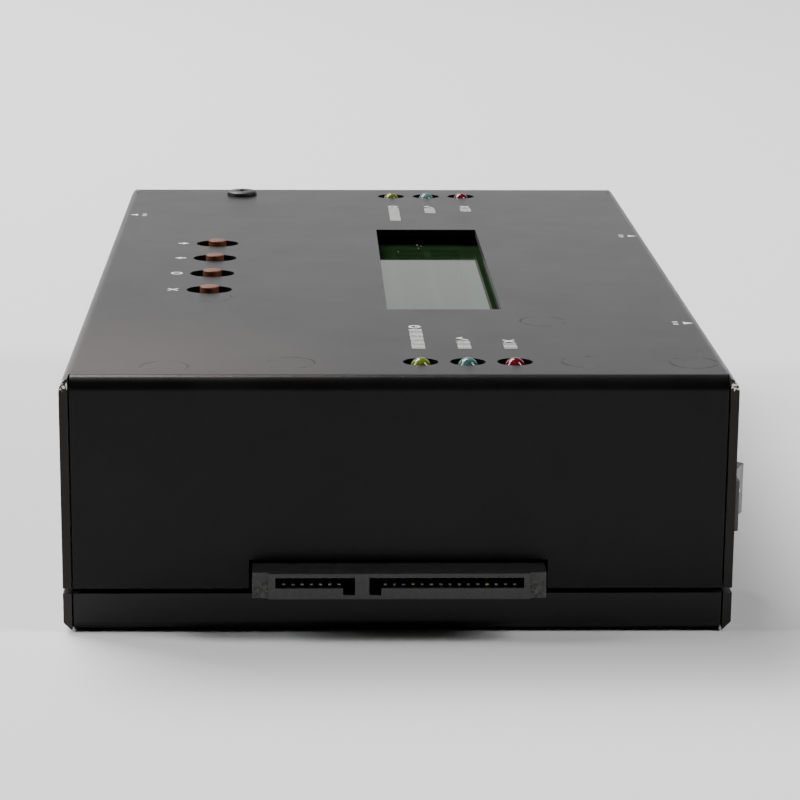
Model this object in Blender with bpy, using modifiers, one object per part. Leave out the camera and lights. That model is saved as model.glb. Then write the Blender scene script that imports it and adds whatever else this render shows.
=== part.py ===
"""A stand-alone docking and copying station for two drives, in metres, +Z up.

A folded steel cover stands over a shallow folded tray. A drive plugs into the socket
at each end. The top has a two-line display, four buttons and two rows of lamps.
The origin is the middle of the underside. The long way is Y, and the end in front is -Y.
"""
import math

import bpy
import bmesh
from mathutils import Matrix, Vector

for old in list(bpy.data.objects):
    bpy.data.objects.remove(old, do_unlink=True)

MM = 0.001

# Driving sizes of the case
case_width = 93.0 * MM
case_length = 152.0 * MM
case_height = 36.5 * MM
sheet = 1.2 * MM
cover_bend = 2.0 * MM
tray_bend = 1.6 * MM
tray_height = 5.65 * MM
split_gap = 0.7 * MM
seam = 0.25 * MM
end_relief = 0.6 * MM
bend_steps = 5
seat_gap = 0.2 * MM
overrun = 1.0 * MM
round_steps = 28

half_width = case_width / 2
half_length = case_length / 2
wall_inside = half_width - sheet
end_inside = half_length - sheet
roof_inside = case_height - sheet
cover_foot = tray_height + split_gap

# The two boards and the posts between them
board_thickness = 1.6 * MM
main_board_lift = 2.7 * MM
main_board_margin = 2.1 * MM
main_board_end_margin = 0.6 * MM
roof_room = 13.6 * MM
post_across = 5.0 * MM
post_thread = 1.3 * MM
post_bore = 1.5 * MM
post_bore_depth = 6.0 * MM
board_hole = 1.7 * MM
stud_radius = 2.6 * MM
stud_bore = 1.5 * MM
post_inset = 3.6 * MM
post_end_margin = 18.0 * MM

main_board_bottom = sheet + main_board_lift
main_board_top = main_board_bottom + board_thickness
control_board_top = roof_inside - roof_room
control_board_bottom = control_board_top - board_thickness

# The display
window_x = 8.27 * MM
window_width = 17.5 * MM
window_length = 65.4 * MM
lcd_board_width = 36.0 * MM
lcd_board_length = 80.0 * MM
lcd_board_gap = 2.5 * MM
lcd_frame_width = 24.2 * MM
lcd_frame_length = 71.2 * MM
lcd_roof_gap = 0.84 * MM
lcd_frame_wall = 0.5 * MM
lcd_view_margin = 0.5 * MM
lcd_glass_thickness = 1.4 * MM
lcd_header_width = 2.5 * MM
lcd_header_length = 40.6 * MM

# The four buttons
button_x = -28.05 * MM
button_middle_y = 0.7 * MM
button_pitch = 12.7 * MM
button_count = 4
button_hole_width = 7.2 * MM
button_hole_depth = 5.8 * MM
button_radius = 1.5 * MM
button_proud = 0.6 * MM
button_travel = 0.25 * MM
button_crown = 0.3 * MM
key_switch_size = 6.0 * MM
key_switch_height = 3.4 * MM
key_switch_bore = 1.85 * MM
key_switch_floor = 1.6 * MM

# The six lamps
lamp_x = 9.8 * MM
lamp_pitch = 6.6 * MM
lamp_end_margin = 9.2 * MM
lamp_hole_width = 5.0 * MM
lamp_hole_depth = 4.4 * MM
lamp_radius = 1.5 * MM
lamp_rim_radius = 1.9 * MM
lamp_rim_height = 1.0 * MM
lamp_length = 5.3 * MM
lamp_proud = 0.6 * MM
lamp_holder_width = 18.4 * MM
lamp_holder_depth = 5.2 * MM

# The drive sockets, the same at both ends
socket_width = 40.4 * MM
socket_nose_width = 36.0 * MM
socket_nose_bottom = 6.25 * MM
socket_nose_height = 3.75 * MM
socket_proud = 4.5 * MM
socket_ear_back = 0.6 * MM
socket_body_depth = 10.0 * MM
socket_body_height = 4.9 * MM
socket_notch_clearance = 0.5 * MM
slot_floor = 1.65 * MM
slot_height = 1.4 * MM
key_depth = 1.0 * MM
key_width = 1.6 * MM
signal_slot_left = -17.0 * MM
signal_slot_right = -6.1 * MM
power_slot_left = -4.1 * MM
power_slot_right = 17.1 * MM
contact_pitch = 1.27 * MM
contact_width = 0.8 * MM
contact_thickness = 0.3 * MM
contact_lift = 0.1 * MM
contact_back = 1.0 * MM
contact_bar = 1.5 * MM
contact_tail = 1.0 * MM
signal_first_x = -15.875 * MM
power_first_x = -1.905 * MM
signal_count = 7
power_count = 15

# The power switch, in the right-hand wall
switch_end_margin = 20.0 * MM
switch_z = 13.95 * MM
bezel_overlap_along = 0.6 * MM
bezel_overlap_across = 0.85 * MM
bezel_thickness = 1.5 * MM
switch_wall_along = 0.4 * MM
switch_wall_across = 0.65 * MM
switch_body_depth = 12.4 * MM
switch_opening_clearance = 0.3 * MM
switch_cavity_length = 13.0 * MM
switch_cavity_depth = 4.0 * MM
switch_leg_width = 2.0 * MM
switch_leg_thickness = 1.0 * MM
switch_leg_inset = 1.0 * MM
switch_leg_spacing = 7.0 * MM
rocker_height = 7.5 * MM
rocker_side_gap = 0.325 * MM
rocker_half_length = 5.2 * MM
rocker_crease = 3.95 * MM
rocker_skirt = 4.4 * MM
rocker_swing = math.radians(25.0)
rocker_pivot_depth = 1.0 * MM
rocker_pin_radius = 0.8 * MM
rocker_pin_length = 0.6 * MM
rocker_pin_clearance = 0.25 * MM
rocker_edge = 0.45 * MM

# The power inlet, in the right-hand wall
inlet_end_margin = 33.7 * MM
inlet_width = 9.0 * MM
inlet_height = 11.0 * MM
inlet_depth = 13.0 * MM
inlet_bore = 3.15 * MM
inlet_bore_depth = 9.5 * MM
inlet_pin_radius = 1.0 * MM
inlet_pin_back = 1.0 * MM
inlet_axis_height = 6.5 * MM
inlet_hole = 4.0 * MM

# The printer port, in the right-hand wall
port_end_margin = 49.1 * MM
port_z = 12.3 * MM
port_plate_length = 30.8 * MM
port_plate_height = 12.4 * MM
port_plate_thickness = 1.0 * MM
port_nose_length = 16.3 * MM
port_nose_height = 7.9 * MM
port_nose_slant = 0.7 * MM
port_nose_proud = 4.4 * MM
port_wall = 0.5 * MM
port_opening_clearance = 0.8 * MM
port_screw_pitch = 25.0 * MM
port_screw_across = 5.0 * MM
port_screw_proud = 4.7 * MM
port_screw_shank = 1.3 * MM
port_screw_depth = 4.0 * MM
port_screw_hole = 1.7 * MM
port_body_length = 20.6 * MM
port_body_depth = 10.0 * MM
port_pin_pitch = 2.77 * MM
port_pin_row_gap = 2.84 * MM
port_pin_hole = 0.55 * MM
port_pin_hole_depth = 5.0 * MM
port_front_row = 5
port_insert_back = 0.4 * MM

# The data port, in the left-hand wall
usb_end_margin = 29.0 * MM
usb_width = 13.2 * MM
usb_height = 6.2 * MM
usb_depth = 14.0 * MM
usb_wall = 0.4 * MM
usb_notch_clearance = 0.4 * MM
usb_tongue_width = 11.0 * MM
usb_tongue_thickness = 1.8 * MM
usb_tongue_back = 1.2 * MM
usb_tongue_drop = 0.7 * MM
usb_block_depth = 3.0 * MM

# Fasteners
side_screw_near_margin = 50.0 * MM
side_screw_far_margin = 16.0 * MM
side_screw_z = 11.0 * MM
side_screw_head = 2.6 * MM
side_screw_head_depth = 1.0 * MM
side_screw_shank = 1.25 * MM
side_screw_length = 5.0 * MM
side_screw_clearance = 0.3 * MM
ear_width = 8.0 * MM
ear_top = 15.0 * MM
ear_gap = 0.3 * MM
top_screw_x = -25.05 * MM
top_screw_end_margin = 7.2 * MM
top_screw_head = 2.8 * MM
top_screw_head_height = 0.7 * MM
top_screw_shank = 1.35 * MM
top_screw_length = 7.0 * MM
top_post_bore = 1.6 * MM
board_screw_head = 2.75 * MM
board_screw_head_height = 2.0 * MM
board_screw_shank = 1.3 * MM
tray_corner_cut = 1.4 * MM
tray_corner_run = 2.4 * MM

# Pieces on the boards
chip_x = -4.0 * MM
chip_y = -12.0 * MM
chip_size = 16.0 * MM
chip_height = 1.4 * MM
sink_size = 20.0 * MM
sink_height = 6.0 * MM
sink_base = 1.5 * MM
sink_fin_count = 6
sink_gap_width = 2.0 * MM
capacitor_x = 34.0 * MM
capacitor_y = -16.0 * MM
capacitor_radius = 4.0 * MM
capacitor_height = 9.5 * MM
capacitor_edge = 0.5 * MM
buzzer_x = -30.0 * MM
buzzer_y = 12.0 * MM
buzzer_radius = 4.6 * MM
buzzer_height = 5.5 * MM
buzzer_hole = 0.9 * MM
buzzer_hole_depth = 2.0 * MM
link_x = -18.0 * MM
link_y = 34.0 * MM
link_width = 5.0 * MM
link_length = 30.0 * MM

switch_cavity_height = rocker_height + 2 * rocker_side_gap
switch_body_length = switch_cavity_length + 2 * switch_wall_along
switch_body_height = switch_cavity_height + 2 * switch_wall_across
bezel_length = switch_body_length + 2 * bezel_overlap_along
bezel_height = switch_body_height + 2 * bezel_overlap_across

control_board_left = button_x - key_switch_size
control_board_right = window_x + lcd_board_width / 2 + key_switch_size / 2
post_y = half_length - post_end_margin
post_columns = (control_board_left + post_inset, control_board_right - post_inset)
post_places = [(x, y) for x in post_columns for y in (-post_y, post_y)]

parts = bpy.data.collections.new("drive_docking_station")
cutters = bpy.data.collections.new("drive_docking_station_cutters")
bpy.context.scene.collection.children.link(parts)
bpy.context.scene.collection.children.link(cutters)


def make_material(name, colour, roughness, metallic=0.0):
    material = bpy.data.materials.new(name)
    material.use_nodes = True
    shader = material.node_tree.nodes["Principled BSDF"]
    shader.inputs["Base Color"].default_value = (*colour, 1.0)
    shader.inputs["Roughness"].default_value = roughness
    shader.inputs["Metallic"].default_value = metallic
    return material


def add_mesh(name, builder, material, location=(0, 0, 0)):
    """Turn a bmesh into an object in the parts collection."""
    mesh = bpy.data.meshes.new(name)
    builder.to_mesh(mesh)
    builder.free()
    thing = bpy.data.objects.new(name, mesh)
    thing.location = location
    thing.data.materials.append(material)
    parts.objects.link(thing)
    return thing


def block(name, low, high, material):
    """A box between two corners, with its origin in its middle."""
    low = Vector(low)
    high = Vector(high)
    builder = bmesh.new()
    bmesh.ops.create_cube(builder, size=1.0)
    bmesh.ops.scale(builder, vec=high - low, verts=builder.verts)
    return add_mesh(name, builder, material, (low + high) / 2)


def prism(name, middle, radius, length, axis, material, steps=round_steps, far_radius=None):
    """A round or many-sided bar along X, Y or Z. far_radius is its radius at the + end."""
    builder = bmesh.new()
    end_radius = radius if far_radius is None else far_radius
    bmesh.ops.create_cone(
        builder, cap_ends=True, segments=steps, radius1=radius, radius2=end_radius, depth=length
    )
    turns = {"X": Matrix.Rotation(math.pi / 2, 4, "Y"),
             "Y": Matrix.Rotation(-math.pi / 2, 4, "X"),
             "Z": Matrix.Identity(4)}
    bmesh.ops.transform(builder, matrix=turns[axis], verts=builder.verts)
    return add_mesh(name, builder, material, middle)


def turned(name, profile, place, material, steps=round_steps):
    """A solid of revolution about Z. The profile runs down its outer side from the axis."""
    builder = bmesh.new()
    dots = [builder.verts.new((x, 0, z)) for x, z in profile]
    for upper, lower in zip(dots, dots[1:]):
        builder.edges.new((upper, lower))
    thing = add_mesh(name, builder, material, place)
    screw = thing.modifiers.new("turn", "SCREW")
    screw.steps = steps
    screw.render_steps = steps
    screw.use_merge_vertices = True
    screw.merge_threshold = 0.00001
    return thing


def outline_solid(name, points, thickness, placement, material):
    """A flat outline, filled and given a thickness, turned into a mesh at its placement."""
    curve = bpy.data.curves.new(name + "_outline", "CURVE")
    curve.dimensions = "2D"
    curve.fill_mode = "BOTH"
    curve.extrude = thickness / 2
    spline = curve.splines.new("POLY")
    spline.points.add(len(points) - 1)
    for dot, (x, y) in zip(spline.points, points):
        dot.co = (x, y, 0, 1)
    spline.use_cyclic_u = True
    guide = bpy.data.objects.new(name + "_outline", curve)
    bpy.context.scene.collection.objects.link(guide)
    bpy.context.view_layer.update()
    seen = guide.evaluated_get(bpy.context.evaluated_depsgraph_get())
    mesh = bpy.data.meshes.new_from_object(seen)
    bpy.data.objects.remove(guide)
    builder = bmesh.new()
    builder.from_mesh(mesh)
    bpy.data.meshes.remove(mesh)
    bmesh.ops.remove_doubles(builder, verts=builder.verts, dist=0.000001)
    bmesh.ops.recalc_face_normals(builder, faces=builder.faces)
    thing = add_mesh(name, builder, material)
    thing.matrix_world = placement
    return thing


def folded_sheet(name, low, high, sides, bend, material):
    """Sheet metal folded along the edges of a box. sides are the box's sides that it keeps."""
    low = Vector(low)
    high = Vector(high)
    kept = [Vector(side) for side in sides]
    builder = bmesh.new()
    bmesh.ops.create_cube(builder, size=1.0)
    bmesh.ops.scale(builder, vec=high - low, verts=builder.verts)
    builder.normal_update()
    dropped = [face for face in builder.faces if not any(face.normal.dot(side) > 0.5 for side in kept)]
    bmesh.ops.delete(builder, geom=dropped, context="FACES")
    folds = [edge for edge in builder.edges if len(edge.link_faces) == 2]
    bmesh.ops.bevel(
        builder, geom=folds, offset=bend, segments=bend_steps, profile=0.5, affect="EDGES"
    )
    thing = add_mesh(name, builder, material, (low + high) / 2)
    wall = thing.modifiers.new("wall", "SOLIDIFY")
    wall.thickness = sheet
    wall.offset = -1.0
    wall.use_even_offset = True
    return thing


def put_away(tool):
    """Keep a cutting or joining shape out of the model, as a wire guide."""
    parts.objects.unlink(tool)
    cutters.objects.link(tool)
    tool.hide_render = True
    tool.display_type = "WIRE"


def combine(target, tool, operation):
    step = target.modifiers.new(operation.lower() + "_" + tool.name, "BOOLEAN")
    step.operation = operation
    step.solver = "EXACT"
    step.object = tool
    put_away(tool)


def cut(target, tool):
    combine(target, tool, "DIFFERENCE")


def fuse(target, tool):
    combine(target, tool, "UNION")


def smooth(thing, degrees=35):
    thing.data.shade_smooth()
    thing.data.set_sharp_from_angle(angle=math.radians(degrees))


def hexagon_radius(across):
    """The corner radius of a hexagon of this size across its flats."""
    return across / 2 / math.cos(math.pi / 6)


black_paint = make_material("black_powder_paint", (0.012, 0.012, 0.013), 0.45)
black_plastic = make_material("black_moulded_plastic", (0.018, 0.018, 0.019), 0.5)
grey_plastic = make_material("dark_grey_plastic", (0.06, 0.06, 0.062), 0.45)
orange_plastic = make_material("orange_brown_plastic", (0.32, 0.09, 0.035), 0.4)
white_plastic = make_material("white_moulded_plastic", (0.75, 0.75, 0.72), 0.5)
board_green = make_material("circuit_board", (0.02, 0.12, 0.05), 0.4)
dark_glass = make_material("display_glass", (0.05, 0.09, 0.05), 0.08)
contact_metal = make_material("plated_contacts", (0.75, 0.6, 0.3), 0.3, 1.0)
bright_steel = make_material("plated_steel", (0.6, 0.6, 0.6), 0.3, 1.0)
black_steel = make_material("blackened_steel", (0.03, 0.03, 0.03), 0.4, 0.6)
brass = make_material("nickelled_brass", (0.7, 0.62, 0.4), 0.3, 1.0)
aluminium = make_material("anodised_aluminium", (0.5, 0.5, 0.52), 0.4, 1.0)
lamp_colours = {
    "yellow": make_material("yellow_green_lamp", (0.45, 0.5, 0.03), 0.15),
    "clear": make_material("teal_clear_lamp", (0.25, 0.42, 0.38), 0.15),
    "red": make_material("red_lamp", (0.5, 0.02, 0.04), 0.15),
}

up = (0, 0, 1)
down = (0, 0, -1)
right = (1, 0, 0)
left = (-1, 0, 0)
towards_ends = {"front": -1, "rear": 1}


# The cover is one folded sheet: a roof, two side walls that run its full length, and
# an end wall between them at each end.
def folded_case(name, foot, top, plate_side, bend):
    """A roof or floor plate with four walls folded from it, open at the corner seams."""
    case = folded_sheet(
        name, (-half_width, -half_length, foot), (half_width, half_length, top),
        (plate_side, right, left), bend, black_paint,
    )
    plate = top if plate_side == up else foot
    inward = -1 if plate_side == up else 1
    notch_run = bend + end_relief
    end_half = wall_inside - seam
    for end, way in towards_ends.items():
        outer = way * half_length
        notch_y = sorted((outer + way * overrun, outer - way * notch_run))
        notch_z = sorted((plate - inward * overrun, plate + inward * (bend + sheet)))
        notch = block(
            name + "_" + end + "_notch", (-wall_inside, notch_y[0], notch_z[0]),
            (wall_inside, notch_y[1], notch_z[1]), black_paint,
        )
        cut(case, notch)
    for end, way in towards_ends.items():
        outer = way * half_length
        lap_y = sorted((outer, outer - way * (notch_run + 2 * sheet)))
        wall = folded_sheet(
            name + "_" + end + "_wall", (-end_half, lap_y[0], foot), (end_half, lap_y[1], top),
            (plate_side, (0, way, 0)), bend, black_paint,
        )
        fuse(case, wall)
    return case


def oval_cutter(name, x, y, width, depth):
    """An upright oval bar that cuts an opening in the roof."""
    tool = prism(name, (x, y, case_height), width / 2, 2 * (sheet + overrun), "Z", black_paint)
    flatten = Matrix.Diagonal((1.0, depth / width, 1.0, 1.0))
    tool.data.transform(flatten)
    return tool


cover = folded_case("top_cover", cover_foot, case_height, up, cover_bend)

window = block(
    "window_cutter",
    (window_x - window_width / 2, -window_length / 2, roof_inside - overrun),
    (window_x + window_width / 2, window_length / 2, case_height + overrun), black_paint,
)
cut(cover, window)

button_places = [
    button_middle_y + button_pitch * ((button_count - 1) / 2 - index) for index in range(button_count)
]
for index, y in enumerate(button_places):
    hole = oval_cutter("button_hole_" + str(index + 1), button_x, y, button_hole_width, button_hole_depth)
    cut(cover, hole)

lamp_places = []
for end, way in towards_ends.items():
    for index, colour in enumerate(lamp_colours):
        lamp_places.append((end, colour, lamp_x + lamp_pitch * (index - 1), way * (half_length - lamp_end_margin)))
for end, colour, x, y in lamp_places:
    hole = oval_cutter("lamp_hole_" + end + "_" + colour, x, y, lamp_hole_width, lamp_hole_depth)
    cut(cover, hole)

top_screw_y = half_length - top_screw_end_margin
top_screw_hole = prism(
    "top_screw_hole", (top_screw_x, top_screw_y, case_height),
    top_screw_shank + side_screw_clearance, 2 * (sheet + overrun), "Z", black_paint,
)
cut(cover, top_screw_hole)

socket_nose_top = socket_nose_bottom + socket_nose_height
for end, way in towards_ends.items():
    reach = sorted((way * (end_inside - overrun), way * (half_length + overrun)))
    half_notch = socket_width / 2 + socket_notch_clearance
    notch = block(
        "socket_notch_" + end, (-half_notch, reach[0], cover_foot - overrun),
        (half_notch, reach[1], socket_nose_top + socket_notch_clearance), black_paint,
    )
    cut(cover, notch)

switch_y = -half_length + switch_end_margin
inlet_y = -half_length + inlet_end_margin
inlet_z = main_board_top + seat_gap + inlet_axis_height
port_y = half_length - port_end_margin
usb_y = half_length - usb_end_margin
usb_bottom = main_board_top + seat_gap
usb_top = usb_bottom + usb_height

switch_opening = block(
    "switch_opening",
    (wall_inside - overrun, switch_y - switch_body_length / 2 - switch_opening_clearance,
     switch_z - switch_body_height / 2 - switch_opening_clearance),
    (half_width + overrun, switch_y + switch_body_length / 2 + switch_opening_clearance,
     switch_z + switch_body_height / 2 + switch_opening_clearance), black_paint,
)
cut(cover, switch_opening)

inlet_opening = prism(
    "inlet_opening", (half_width, inlet_y, inlet_z), inlet_hole, 2 * (sheet + overrun), "X", black_paint
)
cut(cover, inlet_opening)


def port_outline(grow):
    """The port's D shape, wider at its top, grown or shrunk all round."""
    half = port_nose_length / 2 + grow
    tall = port_nose_height / 2 + grow
    corner = tall / 4
    return [
        (-half + port_nose_slant + corner, -tall), (half - port_nose_slant - corner, -tall),
        (half - port_nose_slant, -tall + corner), (half, tall - corner),
        (half - corner, tall), (-half + corner, tall),
        (-half, tall - corner), (-half + port_nose_slant, -tall + corner),
    ]


def port_placement(x):
    """Outline x runs along Y, outline y runs along Z, and the thickness along X."""
    return Matrix(((0, 0, 1, x), (1, 0, 0, port_y), (0, 1, 0, port_z), (0, 0, 0, 1)))


port_opening = outline_solid(
    "port_opening", port_outline(port_opening_clearance), 2 * (sheet + overrun),
    port_placement(half_width), black_paint,
)
cut(cover, port_opening)
port_screw_places = [port_y - port_screw_pitch / 2, port_y + port_screw_pitch / 2]
for index, y in enumerate(port_screw_places):
    hole = prism(
        "port_screw_opening_" + str(index + 1), (half_width, y, port_z), port_screw_hole,
        2 * (sheet + overrun), "X", black_paint,
    )
    cut(cover, hole)

usb_notch = block(
    "usb_notch",
    (-half_width - overrun, usb_y - usb_width / 2 - usb_notch_clearance, cover_foot - overrun),
    (-wall_inside + overrun, usb_y + usb_width / 2 + usb_notch_clearance, usb_top + usb_notch_clearance),
    black_paint,
)
cut(cover, usb_notch)

side_screw_rows = {
    "near": -half_length + side_screw_near_margin,
    "far": half_length - side_screw_far_margin,
}
sides = {"left": -1, "right": 1}
for side, way in sides.items():
    for row, y in side_screw_rows.items():
        wide = side_screw_head + side_screw_clearance
        narrow = side_screw_shank + side_screw_clearance
        widening = (wide - narrow) / sheet * overrun
        radii = (narrow - widening, wide + widening)
        low_radius, high_radius = radii if way > 0 else reversed(radii)
        sink = prism(
            "side_sink_" + side + "_" + row, (way * (half_width - sheet / 2), y, side_screw_z),
            low_radius, sheet + 2 * overrun, "X", black_paint, far_radius=high_radius,
        )
        cut(cover, sink)

# The tray is folded like the cover, turned over. Four ears for the side screws stand on
# its floor, and four studs that carry the boards are pressed into it.
tray = folded_case("base_tray", 0, tray_height, down, tray_bend)
for side, way in sides.items():
    for row, y in side_screw_rows.items():
        reach = sorted((way * (wall_inside - ear_gap), way * (wall_inside - ear_gap - sheet)))
        ear = block(
            "ear_" + side + "_" + row, (reach[0], y - ear_width / 2, sheet / 2),
            (reach[1], y + ear_width / 2, ear_top), black_paint,
        )
        fuse(tray, ear)
        ear_hole = prism(
            "ear_hole_" + side + "_" + row, (sum(reach) / 2, y, side_screw_z),
            side_screw_shank + side_screw_clearance, 2 * sheet, "X", black_paint,
        )
        cut(tray, ear_hole)
for index, (x, y) in enumerate(post_places):
    stud_top = main_board_bottom - seat_gap
    stud = prism(
        "stud_" + str(index + 1), (x, y, (sheet / 2 + stud_top) / 2), stud_radius,
        stud_top - sheet / 2, "Z", black_paint,
    )
    fuse(tray, stud)
    bore = prism(
        "stud_bore_" + str(index + 1), (x, y, sheet + overrun + main_board_lift / 2), stud_bore,
        main_board_lift + 2 * overrun, "Z", black_paint,
    )
    cut(tray, bore)
for side, way in sides.items():
    for end, end_way in towards_ends.items():
        leg = tray_corner_cut * math.sqrt(2)
        corner = block(
            "tray_corner_" + side + "_" + end, (-leg / 2, -tray_corner_run, -leg / 2),
            (leg / 2, tray_corner_run, leg / 2), black_paint,
        )
        corner.rotation_euler = (0, math.pi / 4, 0)
        corner.location = (way * half_width, end_way * half_length, 0)
        cut(tray, corner)


# Two boards, one over the other, on four hexagon posts
def drilled_board(name, low, high):
    board = block(name, low, high, board_green)
    for index, (x, y) in enumerate(post_places):
        hole = prism(
            name + "_hole_" + str(index + 1), (x, y, (low[2] + high[2]) / 2), board_hole,
            board_thickness + 2 * overrun, "Z", board_green,
        )
        cut(board, hole)
    return board


main_half_width = wall_inside - main_board_margin
main_half_length = end_inside - main_board_end_margin
drilled_board(
    "main_board", (-main_half_width, -main_half_length, main_board_bottom),
    (main_half_width, main_half_length, main_board_top),
)
control_half_length = half_length - lamp_end_margin + lamp_holder_depth
drilled_board(
    "control_board", (control_board_left, -control_half_length, control_board_bottom),
    (control_board_right, control_half_length, control_board_top),
)

for index, (x, y) in enumerate(post_places):
    number = str(index + 1)
    foot = main_board_top + seat_gap
    head = control_board_bottom - seat_gap
    post = prism(
        "board_post_" + number, (x, y, (foot + head) / 2), hexagon_radius(post_across),
        head - foot, "Z", bright_steel, steps=6,
    )
    thread_bottom = sheet + seat_gap
    thread = prism(
        "post_thread_" + number, (x, y, (thread_bottom + foot + sheet) / 2), post_thread,
        foot + sheet - thread_bottom, "Z", bright_steel, steps=16,
    )
    fuse(post, thread)
    bore = prism(
        "post_bore_" + number, (x, y, head - post_bore_depth / 2 + overrun / 2), post_bore,
        post_bore_depth + overrun, "Z", bright_steel, steps=16,
    )
    cut(post, bore)
    shank_end = control_board_bottom - seat_gap - post_bore_depth + seat_gap
    seat = control_board_top + seat_gap
    screw_profile = [
        (0, seat + board_screw_head_height),
        (board_screw_head * 0.6, seat + board_screw_head_height),
        (board_screw_head, seat + board_screw_head_height * 0.45),
        (board_screw_head, seat),
        (board_screw_shank, seat),
        (board_screw_shank, shank_end + board_screw_shank / 2),
        (0, shank_end + board_screw_shank / 2),
    ]
    screw = turned("board_screw_" + number, screw_profile, (x, y, 0), bright_steel, steps=20)
    smooth(screw)


# The display: a board on a pin header, with a light block, the glass and a steel frame
lcd_board_bottom = control_board_top + lcd_board_gap
lcd_board_top = lcd_board_bottom + board_thickness
lcd_frame_foot = lcd_board_top + seat_gap
lcd_frame_top = roof_inside - lcd_roof_gap
lcd_glass_top = lcd_frame_top - lcd_frame_wall - seat_gap
lcd_glass_bottom = lcd_glass_top - lcd_glass_thickness
lcd_view_width = window_width + 2 * lcd_view_margin
lcd_view_length = window_length + 2 * lcd_view_margin


def centred_block(name, width, length, bottom, top, material):
    """A block that is centred under the display's window."""
    return block(
        name, (window_x - width / 2, -length / 2, bottom), (window_x + width / 2, length / 2, top), material
    )


centred_block("lcd_board", lcd_board_width, lcd_board_length, lcd_board_bottom, lcd_board_top, board_green)
lcd_inner_width = lcd_frame_width - 2 * lcd_frame_wall
lcd_inner_length = lcd_frame_length - 2 * lcd_frame_wall
lcd_frame = centred_block(
    "lcd_frame", lcd_frame_width, lcd_frame_length, lcd_frame_foot, lcd_frame_top, black_steel
)
lcd_room = centred_block(
    "lcd_room", lcd_inner_width, lcd_inner_length, lcd_frame_foot - overrun,
    lcd_frame_top - lcd_frame_wall, black_steel,
)
cut(lcd_frame, lcd_room)
lcd_view = centred_block(
    "lcd_view", lcd_view_width, lcd_view_length, lcd_glass_top, lcd_frame_top + overrun, black_steel
)
cut(lcd_frame, lcd_view)
centred_block(
    "lcd_glass", lcd_inner_width - 2 * seat_gap, lcd_inner_length - 2 * seat_gap,
    lcd_glass_bottom, lcd_glass_top, dark_glass,
)
centred_block(
    "lcd_light_block", lcd_inner_width - 2 * seat_gap, lcd_inner_length - 2 * seat_gap,
    lcd_frame_foot, lcd_glass_bottom - seat_gap, white_plastic,
)
header_x = window_x - lcd_board_width / 2 + lcd_header_width
block(
    "lcd_header",
    (header_x - lcd_header_width / 2, -lcd_header_length / 2, control_board_top + seat_gap),
    (header_x + lcd_header_width / 2, lcd_header_length / 2, lcd_board_bottom - seat_gap), black_plastic,
)

# The buttons: a square key switch on the board, and a long round plunger up to the cover
key_switch_bottom = control_board_top + seat_gap
key_switch_top = key_switch_bottom + key_switch_height
for index, y in enumerate(button_places):
    number = str(index + 1)
    half_key = key_switch_size / 2
    key_switch = block(
        "key_switch_" + number, (button_x - half_key, y - half_key, key_switch_bottom),
        (button_x + half_key, y + half_key, key_switch_top), black_plastic,
    )
    pocket_floor = key_switch_bottom + key_switch_floor
    pocket = prism(
        "key_pocket_" + number, (button_x, y, (pocket_floor + key_switch_top + overrun) / 2),
        key_switch_bore, key_switch_top + overrun - pocket_floor, "Z", black_plastic,
    )
    cut(key_switch, pocket)
    plunger_foot = pocket_floor + button_travel + seat_gap
    plunger_top = case_height + button_proud
    plunger_profile = [
        (0, plunger_top - plunger_foot),
        (button_radius - button_crown, plunger_top - plunger_foot),
        (button_radius, plunger_top - plunger_foot - button_crown),
        (button_radius, 0),
        (0, 0),
    ]
    plunger = turned("button_plunger_" + number, plunger_profile, (button_x, y, plunger_foot), orange_plastic)
    smooth(plunger)

# The lamps: domed, with a rim, each row of three in one holder on the board
lamp_foot = case_height + lamp_proud - lamp_length
lamp_dome_steps = 5
lamp_profile = [
    (lamp_radius * math.sin(turn), lamp_length - lamp_radius + lamp_radius * math.cos(turn))
    for turn in [math.pi / 2 * step / lamp_dome_steps for step in range(lamp_dome_steps + 1)]
]
lamp_profile += [(lamp_radius, lamp_rim_height), (lamp_rim_radius, lamp_rim_height), (lamp_rim_radius, 0), (0, 0)]
for end, colour, x, y in lamp_places:
    lamp = turned("lamp_" + end + "_" + colour, lamp_profile, (x, y, lamp_foot), lamp_colours[colour], steps=20)
    smooth(lamp)
for end, way in towards_ends.items():
    y = way * (half_length - lamp_end_margin)
    block(
        "lamp_holder_" + end,
        (lamp_x - lamp_holder_width / 2, y - lamp_holder_depth / 2, control_board_top + seat_gap),
        (lamp_x + lamp_holder_width / 2, y + lamp_holder_depth / 2, lamp_foot - seat_gap), black_plastic,
    )


# The drive sockets: a moulded housing with two L-shaped slots, and two rows of contacts
def comb_outline(first_x, count, tip, bar_front, bar_back, tail_end):
    """A row of contacts joined by their carrier bar, seen from above."""
    half = contact_width / 2
    last_x = first_x + contact_pitch * (count - 1)
    points = [(first_x - half, bar_back), (first_x - half, bar_front)]
    for index in range(count):
        x = first_x + contact_pitch * index
        points += [(x - half, bar_front), (x - half, tip), (x + half, tip), (x + half, bar_front)]
    points += [(last_x + half, bar_back)]
    for index in reversed(range(count)):
        x = first_x + contact_pitch * index
        points += [(x + half, bar_back), (x + half, tail_end), (x - half, tail_end), (x - half, bar_back)]
    tidy = [points[0]]
    for dot in points[1:]:
        if dot != tidy[-1]:
            tidy.append(dot)
    if tidy[-1] == tidy[0]:
        tidy.pop()
    return tidy


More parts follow.
